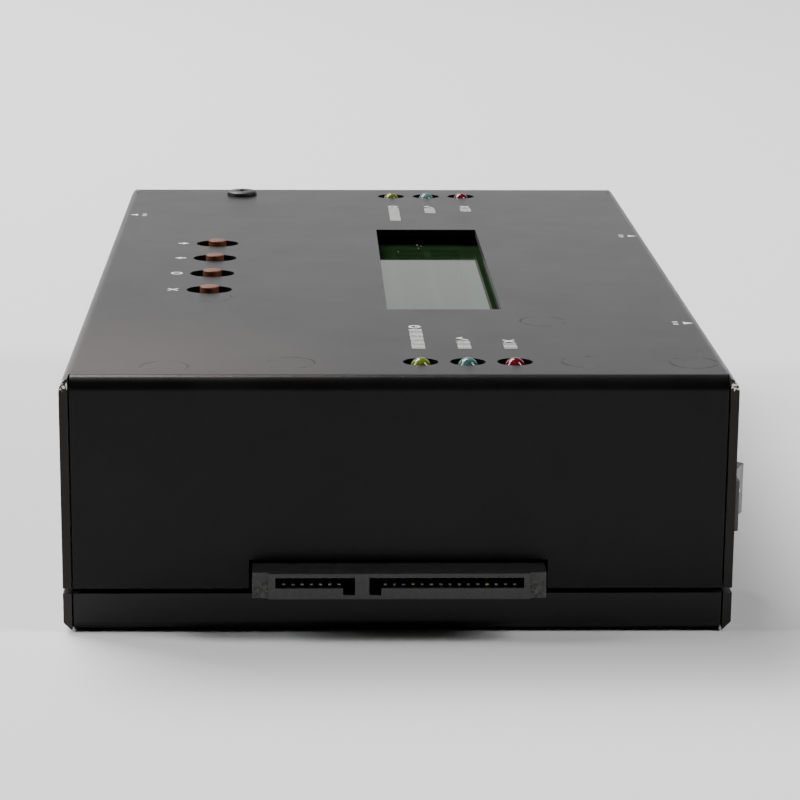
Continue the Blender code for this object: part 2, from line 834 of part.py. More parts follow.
def drive_socket(end):
    """The housing and contacts of one end. The rear set is the front set, turned half round."""
    front = -half_length - socket_proud
    body_front = -end_inside + seat_gap
    body_back = body_front + socket_body_depth
    body_bottom = main_board_top + seat_gap
    housing = block(
        "drive_socket_" + end, (-socket_width / 2, body_front, body_bottom),
        (socket_width / 2, body_back, body_bottom + socket_body_height), black_plastic,
    )
    pieces = [housing]
    ears = block(
        "socket_ears_" + end, (-socket_width / 2, front + socket_ear_back, socket_nose_bottom),
        (socket_width / 2, body_front + overrun, socket_nose_top), black_plastic,
    )
    nose = block(
        "socket_nose_" + end, (-socket_nose_width / 2, front, socket_nose_bottom),
        (socket_nose_width / 2, body_front + overrun, socket_nose_top), black_plastic,
    )
    for tool in (ears, nose):
        fuse(housing, tool)
        pieces.append(tool)
    floor = socket_nose_bottom + slot_floor
    slots = {
        "signal": (signal_slot_left, signal_slot_right, signal_slot_right - key_width, signal_slot_right),
        "power": (power_slot_left, power_slot_right, power_slot_left, power_slot_left + key_width),
    }
    for kind, (slot_left, slot_right, key_left, key_right) in slots.items():
        slot = block(
            "slot_" + kind + "_" + end, (slot_left, front - overrun, floor),
            (slot_right, body_back + overrun, floor + slot_height), black_plastic,
        )
        key = block(
            "key_" + kind + "_" + end, (key_left, front - overrun, floor - key_depth),
            (key_right, body_front, floor + slot_height / 2), black_plastic,
        )
        for tool in (slot, key):
            cut(housing, tool)
            pieces.append(tool)
    rows = {"signal": (signal_first_x, signal_count), "power": (power_first_x, power_count)}
    for kind, (first_x, count) in rows.items():
        outline = comb_outline(
            first_x, count, front + contact_back, body_back - contact_bar - contact_tail,
            body_back - contact_tail, body_back + contact_tail,
        )
        height = floor + contact_lift + contact_thickness / 2
        comb = outline_solid(
            kind + "_contacts_" + end, outline, contact_thickness,
            Matrix.Translation((0, 0, height)), contact_metal,
        )
        pieces.append(comb)
    bpy.context.view_layer.update()
    if end == "rear":
        for piece in pieces:
            piece.matrix_world = Matrix.Rotation(math.pi, 4, "Z") @ piece.matrix_world


for end in towards_ends:
    drive_socket(end)

# The power switch: a housing through the wall, and a rocker that tips about an upright pin
pivot_x = half_width - rocker_pivot_depth
bezel_seat = half_width + seat_gap
switch_back = half_width - switch_body_depth
switch = block(
    "power_switch", (switch_back, switch_y - switch_body_length / 2, switch_z - switch_body_height / 2),
    (bezel_seat + bezel_thickness / 2, switch_y + switch_body_length / 2, switch_z + switch_body_height / 2),
    black_plastic,
)
bezel = block(
    "switch_bezel", (bezel_seat, switch_y - bezel_length / 2, switch_z - bezel_height / 2),
    (bezel_seat + bezel_thickness, switch_y + bezel_length / 2, switch_z + bezel_height / 2), black_plastic,
)
fuse(switch, bezel)
cavity = block(
    "switch_cavity",
    (pivot_x - switch_cavity_depth, switch_y - switch_cavity_length / 2, switch_z - switch_cavity_height / 2),
    (bezel_seat + bezel_thickness + overrun, switch_y + switch_cavity_length / 2,
     switch_z + switch_cavity_height / 2), black_plastic,
)
cut(switch, cavity)
pin_hole = prism(
    "switch_pin_hole", (pivot_x, switch_y, switch_z), rocker_pin_radius + rocker_pin_clearance,
    rocker_height + 2 * (rocker_pin_length + rocker_pin_clearance), "Z", black_plastic, steps=20,
)
cut(switch, pin_hole)
for index, way in enumerate((-1, 1)):
    leg_y = switch_y + way * switch_leg_spacing / 2
    leg = block(
        "switch_leg_" + str(index + 1),
        (switch_back + switch_leg_inset, leg_y - switch_leg_width / 2, main_board_top + seat_gap),
        (switch_back + switch_leg_inset + switch_leg_thickness, leg_y + switch_leg_width / 2, switch_z),
        black_plastic,
    )
    fuse(switch, leg)


def rocker_outline():
    """The rocker in its middle position: outline x points out of the wall, y along it."""
    lean = rocker_swing / 2
    end_x = rocker_crease + rocker_half_length * math.tan(lean)
    skirt_x = end_x - rocker_skirt * math.cos(lean)
    skirt_y = rocker_half_length + rocker_skirt * math.sin(lean)
    edge_x = end_x - rocker_edge
    half_side = [
        (end_x, rocker_half_length - rocker_edge), (edge_x, rocker_half_length),
        (skirt_x, skirt_y), (-rocker_pin_radius, rocker_half_length / 2),
    ]
    other_side = [(x, -y) for x, y in reversed(half_side)]
    return [(rocker_crease, 0)] + half_side + [(-2 * rocker_pin_radius, 0)] + other_side


rocker_lean = Matrix.Rotation(-rocker_swing / 2, 4, "Z")
rocker = outline_solid(
    "power_rocker", rocker_outline(), rocker_height,
    Matrix.Translation((pivot_x, switch_y, switch_z)) @ rocker_lean, grey_plastic,
)
rocker_pin = prism(
    "rocker_pin", (pivot_x, switch_y, switch_z), rocker_pin_radius,
    rocker_height + 2 * rocker_pin_length, "Z", grey_plastic, steps=20,
)
fuse(rocker, rocker_pin)

# The power inlet, a moulded block with a round bore and a centre pin
inlet_face = wall_inside - seat_gap
inlet_floor = inlet_face - inlet_bore_depth
inlet = block(
    "power_inlet", (inlet_face - inlet_depth, inlet_y - inlet_width / 2, main_board_top + seat_gap),
    (inlet_face, inlet_y + inlet_width / 2, main_board_top + seat_gap + inlet_height), black_plastic,
)
inlet_bore_cutter = prism(
    "inlet_bore", ((inlet_floor + inlet_face + overrun) / 2, inlet_y, inlet_z), inlet_bore,
    inlet_face + overrun - inlet_floor, "X", black_plastic,
)
cut(inlet, inlet_bore_cutter)
inlet_pin_foot = inlet_floor + seat_gap
inlet_pin_tip = inlet_face - inlet_pin_back
prism(
    "inlet_pin", ((inlet_pin_foot + inlet_pin_tip) / 2, inlet_y, inlet_z), inlet_pin_radius,
    inlet_pin_tip - inlet_pin_foot, "X", brass, steps=20,
)

# The printer port: a plated shell with a plate behind the wall, an insert with nine
# holes, and two hexagon screws
plate_face = wall_inside - seat_gap
plate_back = plate_face - port_plate_thickness
nose_tip = half_width + port_nose_proud
port_shell = block(
    "port_shell", (plate_back, port_y - port_plate_length / 2, port_z - port_plate_height / 2),
    (plate_face, port_y + port_plate_length / 2, port_z + port_plate_height / 2), bright_steel,
)
port_nose = outline_solid(
    "port_nose", port_outline(0), nose_tip - plate_back, port_placement((nose_tip + plate_back) / 2), bright_steel
)
fuse(port_shell, port_nose)
port_bore = outline_solid(
    "port_bore", port_outline(-port_wall), nose_tip - plate_back + 2 * overrun,
    port_placement((nose_tip + plate_back) / 2), bright_steel,
)
cut(port_shell, port_bore)
insert_tip = nose_tip - port_insert_back
body_face = plate_back - seat_gap
port_insert = outline_solid(
    "port_insert", port_outline(-port_wall - seat_gap), insert_tip - body_face + port_plate_thickness,
    port_placement((insert_tip + body_face - port_plate_thickness) / 2), black_plastic,
)
port_body = block(
    "port_body", (body_face - port_body_depth, port_y - port_body_length / 2, main_board_top + seat_gap),
    (body_face, port_y + port_body_length / 2, port_z + port_plate_height / 2), black_plastic,
)
fuse(port_insert, port_body)
for row, count in enumerate((port_front_row, port_front_row - 1)):
    z = port_z + port_pin_row_gap * (0.5 - row)
    for index in range(count):
        y = port_y + port_pin_pitch * (index - (count - 1) / 2)
        hole = prism(
            "port_pin_hole_" + str(row + 1) + "_" + str(index + 1), (insert_tip, y, z), port_pin_hole,
            2 * port_pin_hole_depth, "X", black_plastic, steps=10,
        )
        cut(port_insert, hole)
for index, y in enumerate(port_screw_places):
    hole = prism(
        "plate_hole_" + str(index + 1), (plate_face, y, port_z), port_screw_hole,
        2 * (port_plate_thickness + overrun), "X", bright_steel, steps=20,
    )
    cut(port_shell, hole)
    nut_seat = half_width + seat_gap
    nut_tip = half_width + port_screw_proud
    nut = prism(
        "port_screw_" + str(index + 1), ((nut_seat + nut_tip) / 2, y, port_z),
        hexagon_radius(port_screw_across), nut_tip - nut_seat, "X", bright_steel, steps=6,
    )
    shank_tip = plate_back - port_screw_depth
    shank = prism(
        "port_shank_" + str(index + 1), ((shank_tip + nut_seat + sheet) / 2, y, port_z), port_screw_shank,
        nut_seat + sheet - shank_tip, "X", bright_steel, steps=16,
    )
    fuse(nut, shank)
    socket = prism(
        "port_screw_bore_" + str(index + 1), (nut_tip, y, port_z), port_screw_shank,
        2 * (nut_tip - nut_seat - sheet), "X", bright_steel, steps=16,
    )
    cut(nut, socket)

# The data port: a folded shell with a tongue inside
usb_mouth = -half_width + seat_gap
usb_back = usb_mouth + usb_depth
usb_shell = block(
    "usb_shell", (usb_mouth, usb_y - usb_width / 2, usb_bottom),
    (usb_back, usb_y + usb_width / 2, usb_top), bright_steel,
)
usb_room = block(
    "usb_room", (usb_mouth - overrun, usb_y - usb_width / 2 + usb_wall, usb_bottom + usb_wall),
    (usb_back - usb_wall, usb_y + usb_width / 2 - usb_wall, usb_top - usb_wall), bright_steel,
)
cut(usb_shell, usb_room)
tongue_top = usb_top - usb_wall - usb_tongue_drop
usb_tongue = block(
    "usb_tongue",
    (usb_mouth + usb_tongue_back, usb_y - usb_tongue_width / 2, tongue_top - usb_tongue_thickness),
    (usb_back - usb_wall - usb_block_depth / 2, usb_y + usb_tongue_width / 2, tongue_top), white_plastic,
)
usb_block = block(
    "usb_block",
    (usb_back - usb_wall - seat_gap - usb_block_depth, usb_y - usb_width / 2 + usb_wall + seat_gap,
     usb_bottom + usb_wall + seat_gap),
    (usb_back - usb_wall - seat_gap, usb_y + usb_width / 2 - usb_wall - seat_gap,
     usb_top - usb_wall - seat_gap), white_plastic,
)
fuse(usb_tongue, usb_block)

# The side screws, sunk flush in the cover's walls and through the tray's ears
head_depth = side_screw_head_depth
flush = seat_gap / 2
side_profile = [
    (0, -flush), (side_screw_head, -flush), (side_screw_shank, -flush - head_depth),
    (side_screw_shank, -side_screw_length), (0, -side_screw_length),
]
for side, way in sides.items():
    for row, y in side_screw_rows.items():
        screw = turned("side_screw_" + side + "_" + row, side_profile, (way * half_width, y, side_screw_z),
                       black_steel, steps=20)
        screw.rotation_euler = (0, way * math.pi / 2, 0)
        smooth(screw)

# The low round screw in the roof, and the hexagon post under it
screw_seat = case_height + seat_gap / 2
top_profile = [
    (0, top_screw_head_height), (top_screw_head - top_screw_head_height / 3, top_screw_head_height),
    (top_screw_head, top_screw_head_height * 0.6), (top_screw_head, 0),
    (top_screw_shank, 0), (top_screw_shank, -top_screw_length), (0, -top_screw_length),
]
top_screw = turned("top_screw", top_profile, (top_screw_x, top_screw_y, screw_seat), black_steel)
smooth(top_screw)
top_post_foot = control_board_top + seat_gap
top_post_head = roof_inside - seat_gap
top_post = prism(
    "top_post", (top_screw_x, top_screw_y, (top_post_foot + top_post_head) / 2),
    hexagon_radius(post_across), top_post_head - top_post_foot, "Z", bright_steel, steps=6,
)
top_bore_depth = top_screw_length
top_bore = prism(
    "top_post_bore", (top_screw_x, top_screw_y, top_post_head - top_bore_depth / 2 + overrun / 2),
    top_post_bore, top_bore_depth + overrun, "Z", bright_steel, steps=16,
)
cut(top_post, top_bore)

# What stands on the main board
chip_bottom = main_board_top + seat_gap
block(
    "copy_chip", (chip_x - chip_size / 2, chip_y - chip_size / 2, chip_bottom),
    (chip_x + chip_size / 2, chip_y + chip_size / 2, chip_bottom + chip_height), black_plastic,
)
sink_bottom = chip_bottom + chip_height + seat_gap
heat_sink = block(
    "heat_sink", (chip_x - sink_size / 2, chip_y - sink_size / 2, sink_bottom),
    (chip_x + sink_size / 2, chip_y + sink_size / 2, sink_bottom + sink_height), aluminium,
)
for index in range(sink_fin_count - 1):
    gap_x = chip_x + sink_size * ((index + 1) / sink_fin_count - 0.5)
    gap = block(
        "sink_gap_" + str(index + 1),
        (gap_x - sink_gap_width / 2, chip_y - sink_size / 2 - overrun, sink_bottom + sink_base),
        (gap_x + sink_gap_width / 2, chip_y + sink_size / 2 + overrun, sink_bottom + sink_height + overrun),
        aluminium,
    )
    cut(heat_sink, gap)
capacitor_profile = [
    (0, capacitor_height), (capacitor_radius - capacitor_edge, capacitor_height),
    (capacitor_radius, capacitor_height - capacitor_edge), (capacitor_radius, 0), (0, 0),
]
capacitor = turned(
    "capacitor", capacitor_profile, (capacitor_x, capacitor_y, main_board_top + seat_gap), black_plastic
)
smooth(capacitor)
buzzer_top = main_board_top + seat_gap + buzzer_height
buzzer = prism(
    "buzzer", (buzzer_x, buzzer_y, buzzer_top - buzzer_height / 2), buzzer_radius, buzzer_height, "Z",
    black_plastic,
)
sound_hole = prism(
    "sound_hole", (buzzer_x, buzzer_y, buzzer_top), buzzer_hole, 2 * buzzer_hole_depth, "Z", black_plastic,
    steps=16,
)
cut(buzzer, sound_hole)
block(
    "board_link", (link_x - link_width / 2, link_y - link_length / 2, main_board_top + seat_gap),
    (link_x + link_width / 2, link_y + link_length / 2, control_board_bottom - seat_gap), black_plastic,
)
bpy.context.view_layer.update()
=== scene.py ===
"""A drive docking station in black powder-coated steel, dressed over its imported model.

Every piece is in metres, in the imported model's frame: X across, Y from the near end to
the far end, Z up from the table.
"""
import math

import bmesh
import bpy
from mathutils import Matrix, Vector


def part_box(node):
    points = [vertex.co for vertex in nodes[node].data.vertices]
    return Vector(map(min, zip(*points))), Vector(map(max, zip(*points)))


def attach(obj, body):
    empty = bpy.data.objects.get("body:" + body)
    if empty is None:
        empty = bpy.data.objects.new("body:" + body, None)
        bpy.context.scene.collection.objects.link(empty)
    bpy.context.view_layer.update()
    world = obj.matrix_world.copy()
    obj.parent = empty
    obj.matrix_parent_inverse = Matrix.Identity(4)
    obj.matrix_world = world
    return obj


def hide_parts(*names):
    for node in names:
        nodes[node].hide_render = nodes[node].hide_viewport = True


MM = 0.001

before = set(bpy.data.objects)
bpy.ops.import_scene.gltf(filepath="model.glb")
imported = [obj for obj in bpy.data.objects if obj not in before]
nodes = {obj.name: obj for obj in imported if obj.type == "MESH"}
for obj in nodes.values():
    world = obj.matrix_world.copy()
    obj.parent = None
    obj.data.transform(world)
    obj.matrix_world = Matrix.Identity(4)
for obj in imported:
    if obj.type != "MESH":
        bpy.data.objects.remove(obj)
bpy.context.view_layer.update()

# The camera stands 0.42 m in front of the middle of the station, a hand's width above it,
# and looks down by about fourteen degrees.
camera_place = Vector((-12.56 * MM, -420.20 * MM, 121.75 * MM))
camera_down = 0.2360
camera_turn = 0.0206
camera_roll = 0.0049
camera_data = bpy.data.cameras.new("studio_camera")
camera_data.sensor_width = 36.0
camera_data.lens = 117.26
camera_data.shift_x = 0.05
camera_data.shift_y = -0.05
camera_data.clip_start = 0.01
camera = bpy.data.objects.new("studio_camera", camera_data)
bpy.context.scene.collection.objects.link(camera)
camera.matrix_world = (
    Matrix.Translation(camera_place)
    @ Matrix.Rotation(-camera_turn, 4, "Z")
    @ Matrix.Rotation(math.pi / 2 - camera_down, 4, "X")
    @ Matrix.Rotation(camera_roll, 4, "Z")
)
bpy.context.scene.camera = camera

# A white paper floor, a large soft box high behind the station, a lit panel far behind it, a
# tall strip at each side, and a dim room that is darkest behind the camera.
floor_half = 5.0
floor_drop = 0.02 * MM
paper_white = 0.88
room_behind = 0.16
room_in_front = 0.12
room_back_edge = 0.5
room_front_edge = -0.6
# Each light's place, the point that it is aimed at, its width, its height and its radiance.
studio_lights = {
    "box_behind": ((-0.62, 0.80, 1.3), (0.0, 0.0, 0.0), 1.2, 0.7, 17.5),
    "panel_behind": ((0.0, 2.3, 0.52), (0.0, 0.0, 0.1), 3.4, 0.95, 1.08),
    "box_left": ((-0.85, -0.02, 0.60), (0.0, 0.0, 0.03), 0.25, 0.62, 13.5),
    "box_right": ((0.80, -0.20, 0.72), (0.0, 0.0, 0.03), 0.25, 0.62, 13.5),
}


def soft_box(name, place, aim, width, height, radiance):
    """A rectangular studio light of this brightness, facing the point it is aimed at."""
    light = bpy.data.lights.new(name, "AREA")
    light.shape = "RECTANGLE"
    light.size = width
    light.size_y = height
    light.energy = radiance * math.pi * width * height
    lamp = bpy.data.objects.new(name, light)
    facing = (Vector(aim) - Vector(place)).to_track_quat("-Z", "Y")
    lamp.matrix_world = Matrix.Translation(place) @ facing.to_matrix().to_4x4()
    lamp.visible_camera = False
    bpy.context.scene.collection.objects.link(lamp)


paper = bpy.data.materials.new("white_paper")
paper.use_nodes = True
paper_shader = paper.node_tree.nodes["Principled BSDF"]
paper_shader.inputs["Roughness"].default_value = 1.0
paper_shader.inputs["Specular IOR Level"].default_value = 0.0
paper_shader.inputs["Base Color"].default_value = (paper_white, paper_white, paper_white, 1.0)
floor_mesh = bpy.data.meshes.new("floor")
floor_mesh.from_pydata(
    [(-floor_half, -floor_half, -floor_drop), (floor_half, -floor_half, -floor_drop),
     (floor_half, floor_half, -floor_drop), (-floor_half, floor_half, -floor_drop)],
    [], [(0, 1, 2, 3)],
)
floor = bpy.data.objects.new("floor", floor_mesh)
floor.data.materials.append(paper)
bpy.context.scene.collection.objects.link(floor)

room = bpy.data.worlds.new("studio_room")
room.use_nodes = True
room_direction = room.node_tree.nodes.new("ShaderNodeTexCoord")
room_axes = room.node_tree.nodes.new("ShaderNodeSeparateXYZ")
room_tone = room.node_tree.nodes.new("ShaderNodeMapRange")
room_tone.inputs["From Min"].default_value = room_front_edge
room_tone.inputs["From Max"].default_value = room_back_edge
room_tone.inputs["To Min"].default_value = room_in_front
room_tone.inputs["To Max"].default_value = room_behind
room.node_tree.links.new(room_direction.outputs["Generated"], room_axes.inputs[0])
room.node_tree.links.new(room_axes.outputs[1], room_tone.inputs["Value"])
room.node_tree.links.new(room_tone.outputs["Result"], room.node_tree.nodes["Background"].inputs["Strength"])
bpy.context.scene.world = room

for light_name, light_values in studio_lights.items():
    soft_box(light_name, *light_values)

# The top cover: cold-rolled steel sheet, punched, folded and powder-coated black. The paint
# has a fine orange peel, is worn to bright metal at the open corners, and shows the round
# marks of the studs that are welded under the roof.
weld_distance = 0.001 * MM
flat_angle = math.radians(0.6)
smooth_angle = math.radians(38)
sheet_edge = 0.12 * MM
paint_cloud = 8.0 * MM
peel_grain = 0.45 * MM
peel_depth = 0.014 * MM
fine_grain = 0.13 * MM
fine_depth = 0.007 * MM
# Towards the near left corner of the roof top the paint is lighter and warmer: partly a film from handling,
# partly a painted sheen.
film_and_sheen_corner = Vector((-42 * MM, -70 * MM, 36.5 * MM))
film_and_sheen_reach = 40 * MM
film_and_sheen_low_edge = 35.8 * MM
film_and_sheen_full_height = 36.4 * MM
worn_corner = Vector((45.9 * MM, 75.3 * MM, 35.2 * MM))
worn_reach = 1.7 * MM
worn_grain = 0.35 * MM
cut_edge_from = (45.29 * MM, 75.9 * MM)
weld_mark_radius = 3.3 * MM
weld_mark_width = 0.3 * MM
weld_mark_patch = 2.5 * MM
weld_mark_dip = 0.02 * MM
roof_weld_marks = [
    (-27.7 * MM, -24.2 * MM), (-32.4 * MM, -69.9 * MM), (-14.9 * MM, -67.5 * MM),
    (22.5 * MM, -41.2 * MM), (26.2 * MM, -66.9 * MM), (41.3 * MM, -67.5 * MM),
]


class Finish:
    """A surface finish under construction. Its patterns use the piece's own coordinates."""

    def __init__(self, name, colour, roughness, metallic=0.0, ior=1.45):
        self.material = bpy.data.materials.new(name)
        self.material.use_nodes = True
        self.tree = self.material.node_tree
        self.shader = self.tree.nodes["Principled BSDF"]
        self.hold("Base Color", (*colour, 1.0))
        self.hold("Roughness", roughness)
        self.hold("Metallic", metallic)
        self.hold("IOR", ior)
        self.position = self.tree.nodes.new("ShaderNodeTexCoord").outputs["Object"]
        self.relief = None

    def hold(self, socket, value):
        """A constant, set on the shader's own socket."""
        self.shader.inputs[socket].default_value = value

    def drive(self, socket, source):
        """A pattern, linked to the shader's socket."""
        self.tree.links.new(source, self.shader.inputs[socket])

    def feed(self, made, number, value):
        """Link a pattern to a node's input, or set the input to a plain value."""
        if isinstance(value, bpy.types.NodeSocket):
            self.tree.links.new(value, made.inputs[number])
        else:
            made.inputs[number].default_value = value

    def sum(self, operation, first, second=0.0):
        """Arithmetic with two numbers, either of which may be a pattern."""
        made = self.tree.nodes.new("ShaderNodeMath")
        made.operation = operation
        self.feed(made, 0, first)
        self.feed(made, 1, second)
        return made.outputs[0]

    def along(self, operation, first, second=(0.0, 0.0, 0.0)):
        """Vector arithmetic. A distance or a length comes out as one number."""
        made = self.tree.nodes.new("ShaderNodeVectorMath")
        made.operation = operation
        self.feed(made, 0, first)
        self.feed(made, 1, second)
        return made.outputs["Value" if operation in ("DISTANCE", "LENGTH") else "Vector"]

    def axes(self):
        """The piece's X, Y and Z as three numbers."""
        made = self.tree.nodes.new("ShaderNodeSeparateXYZ")
        self.tree.links.new(self.position, made.inputs[0])
        return made.outputs

    def noise(self, grain, detail=2.0, stretch=(1.0, 1.0, 1.0)):
        """Noise with lumps about one grain wide."""
        cloud = self.tree.nodes.new("ShaderNodeTexNoise")
        self.tree.links.new(self.along("MULTIPLY", self.position, stretch), cloud.inputs["Vector"])
        cloud.inputs["Scale"].default_value = 1.0 / grain
        cloud.inputs["Detail"].default_value = detail
        return cloud.outputs["Fac"]

    def between(self, source, low_edge, high_edge, low=0.0, high=1.0):
        """A number that runs from low to high as the source runs between its edges."""
        made = self.tree.nodes.new("ShaderNodeMapRange")
        self.tree.links.new(source, made.inputs["Value"])
        made.inputs["From Min"].default_value = low_edge
        made.inputs["From Max"].default_value = high_edge
        made.inputs["To Min"].default_value = low
        made.inputs["To Max"].default_value = high
        return made.outputs["Result"]

    def blend(self, share, first, second):
        """From one colour to another as the share runs from 0 to 1."""
        made = self.tree.nodes.new("ShaderNodeMix")
        made.data_type = "RGBA"
        self.feed(made, 0, share)
        self.feed(made, 6, (*first, 1.0) if isinstance(first, tuple) else first)
        self.feed(made, 7, (*second, 1.0) if isinstance(second, tuple) else second)
        return made.outputs[2]

    def vary(self, pattern, first, second, smooth, rough, edges=(0.0, 1.0)):
        """A colour and a roughness that follow one pattern together."""
        self.drive("Base Color", self.blend(pattern, first, second))
        self.drive("Roughness", self.between(pattern, *edges, smooth, rough))

    def emboss(self, height, depth):
        """Adds relief of this depth to what the surface has already."""
        made = self.tree.nodes.new("ShaderNodeBump")
        made.inputs["Distance"].default_value = depth
        self.tree.links.new(height, made.inputs["Height"])
        if self.relief is not None:
            self.tree.links.new(self.relief, made.inputs["Normal"])
        self.relief = made.outputs["Normal"]
        self.drive("Normal", self.relief)

    def rings(self, centres, radius, width):
        """1 on upright rings round these centres, and 0 elsewhere."""
        flat = self.along("MULTIPLY", self.position, (1.0, 1.0, 0.0))
        marks = None
        for x, y in centres:
            reach = self.along("DISTANCE", flat, (x, y, 0.0))
            off = self.sum("ABSOLUTE", self.sum("SUBTRACT", reach, radius))
            mark = self.between(off, 0.0, width, 1.0, 0.0)
            marks = mark if marks is None else self.sum("MAXIMUM", marks, mark)
        return marks


def powder_coat(name, marks, ior):
    """Black powder coat, with the round marks of welded or pressed studs."""
    coat = Finish(name, (0.005, 0.005, 0.005), 0.32, ior=ior)
    coat.hold("Sheen Weight", 0.07)
    coat.hold("Sheen Roughness", 0.35)
    cloud = coat.noise(paint_cloud, detail=3.0)
    rings = coat.rings(marks, weld_mark_radius, weld_mark_width)
    patchy = coat.sum("MULTIPLY", rings, coat.between(coat.noise(weld_mark_patch), 0.42, 0.62))
    dulled = coat.sum("MULTIPLY", patchy, 0.18)
    coat.drive("Roughness", coat.sum("ADD", coat.between(cloud, 0.3, 0.7, 0.30, 0.33), dulled))
    tone = coat.blend(coat.between(cloud, 0.35, 0.65), (0.004, 0.004, 0.0042), (0.0065, 0.0063, 0.0062))
    across, endways, height = coat.axes()
    # Lighter, warmer paint towards the near left corner of the roof top, only on the roof: partly a handling
    # film, partly a painted sheen.
    from_film_and_sheen_corner = coat.along("DISTANCE", coat.position, tuple(film_and_sheen_corner))
    film_and_sheen_falloff = coat.between(from_film_and_sheen_corner, 0.0, film_and_sheen_reach, 1.0, 0.0)
    film_and_painted_sheen = coat.sum("MULTIPLY", film_and_sheen_falloff, coat.between(cloud, 0.2, 0.8, 0.7, 1.0))
    film_and_painted_sheen = coat.sum("MULTIPLY", film_and_painted_sheen, coat.between(height, film_and_sheen_low_edge, film_and_sheen_full_height))
    tone = coat.blend(film_and_painted_sheen, tone, (0.052, 0.039, 0.034))
    at_wall = coat.sum("GREATER_THAN", coat.sum("ABSOLUTE", across), cut_edge_from[0])
    at_end = coat.sum("GREATER_THAN", coat.sum("ABSOLUTE", endways), cut_edge_from[1])
    tone = coat.blend(coat.sum("MULTIPLY", at_wall, at_end), tone, (0.017, 0.015, 0.014))
    from_corner = coat.along("DISTANCE", coat.along("ABSOLUTE", coat.position), tuple(worn_corner))
    near_corner = coat.between(from_corner, worn_reach * 0.4, worn_reach, 1.0, 0.0)
    wear = coat.sum("MULTIPLY", near_corner, coat.noise(worn_grain, detail=3.0))
    chips = coat.sum("GREATER_THAN", wear, 0.42)
    coat.drive("Base Color", coat.blend(chips, tone, (0.55, 0.52, 0.47)))
    coat.drive("Metallic", chips)
    coat.emboss(coat.noise(peel_grain, detail=1.0), peel_depth)
    coat.emboss(coat.noise(fine_grain, detail=2.0), fine_depth)
    coat.emboss(patchy, -weld_mark_dip)
    return coat.material


def mesh_from(builder, name, material):
    """A finished mesh with smooth curves and crisp edges."""
    mesh = bpy.data.meshes.new(name)
    builder.to_mesh(mesh)
    builder.free()
    mesh.shade_smooth()
    mesh.set_sharp_from_angle(angle=smooth_angle)
    if material:
        mesh.materials.append(material)
    return mesh


def settle(piece, body, *replaced):
    """The piece is shown, rides on its body and stands for the solids that it replaces."""
    bpy.context.scene.collection.objects.link(piece)
    if not piece.modifiers:
        piece.modifiers.new("flat_faces", "WEIGHTED_NORMAL").keep_sharp = True
    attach(piece, body)
    if replaced:
        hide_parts(*replaced)
    return piece


def merged_copy(node_name, piece_name, material):
    """A copy of a solid, with its loose triangles joined and its flat faces whole."""
    builder = bmesh.new()
    builder.from_mesh(nodes[node_name].data)
    bmesh.ops.remove_doubles(builder, verts=builder.verts, dist=weld_distance)
    bmesh.ops.dissolve_limit(builder, angle_limit=flat_angle, verts=builder.verts, edges=builder.edges)
    for face in builder.faces:
        face.material_index = 0
    return bpy.data.objects.new(piece_name, mesh_from(builder, piece_name, material))


def eased(piece, width, steps=2):
    """Rounds the piece's sharp edges and keeps its flat faces flat to the light."""
    edge = piece.modifiers.new("eased_edges", "BEVEL")
    edge.width = width
    edge.segments = steps
    edge.limit_method = "ANGLE"
    edge.angle_limit = math.radians(32)
    flat = piece.modifiers.new("flat_faces", "WEIGHTED_NORMAL")
    flat.keep_sharp = False
    return piece


def dress(node_name, piece_name, finish, width, steps=2, body="case"):
    """A copy of a solid in its finish, with its edges eased, stands for the solid."""
    return settle(eased(merged_copy(node_name, piece_name, finish), width, steps), body, node_name)


cover_paint = powder_coat("black_powder_coat", roof_weld_marks, 1.22)
dress("top_cover", "painted_cover", cover_paint, sheet_edge)

# The tray: the same painted sheet, folded up round the floor of the station. The four
# pressed studs that carry the boards show as round marks underneath.
def middle_of(node_name):
    low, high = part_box(node_name)
    return [(near + far) / 2 for near, far in zip(low, high)]


post_middles = [tuple(middle_of("board_post_" + str(number))[:2]) for number in range(1, 5)]
tray_paint = powder_coat("black_tray_powder_coat", post_middles, 1.30)
dress("base_tray", "painted_tray", tray_paint, sheet_edge)

# The white ink on the roof is screen-printed. Each lamp, button and port has a plain
# symbol, which reads from the station's left side. The place beside the buttons is bare.
roof_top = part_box("top_cover")[1][2]
ink_lift = 0.004 * MM
ink_thickness = 0.016 * MM
ink_line = 0.32 * MM
symbol_height = 1.9 * MM
symbol_from_button = 5.2 * MM
symbol_from_lamp = 0.9 * MM
bar_pitch = 0.85 * MM
mark_gap = 2.6 * MM
front_marks_end = -59.2 * MM
rear_marks_start = 56.5 * MM
pointer_size = 1.5 * MM
pointer_x = 43.4 * MM
pointer_bars_gap = 1.6 * MM
pointer_bar_height = 0.8 * MM
ink_wear = 0.22 * MM
ink_relief = 0.004 * MM


def raised_outline(builder, points, low, high):
    """A flat outline with a thickness, from low to high."""
    feet = [builder.verts.new((x, y, low)) for x, y in points]
    tops = [builder.verts.new((x, y, high)) for x, y in points]
    builder.faces.new(tops)
    builder.faces.new(list(reversed(feet)))
    for here in range(len(points)):
        there = (here + 1) % len(points)
        builder.faces.new((feet[here], feet[there], tops[there], tops[here]))
    return feet + tops


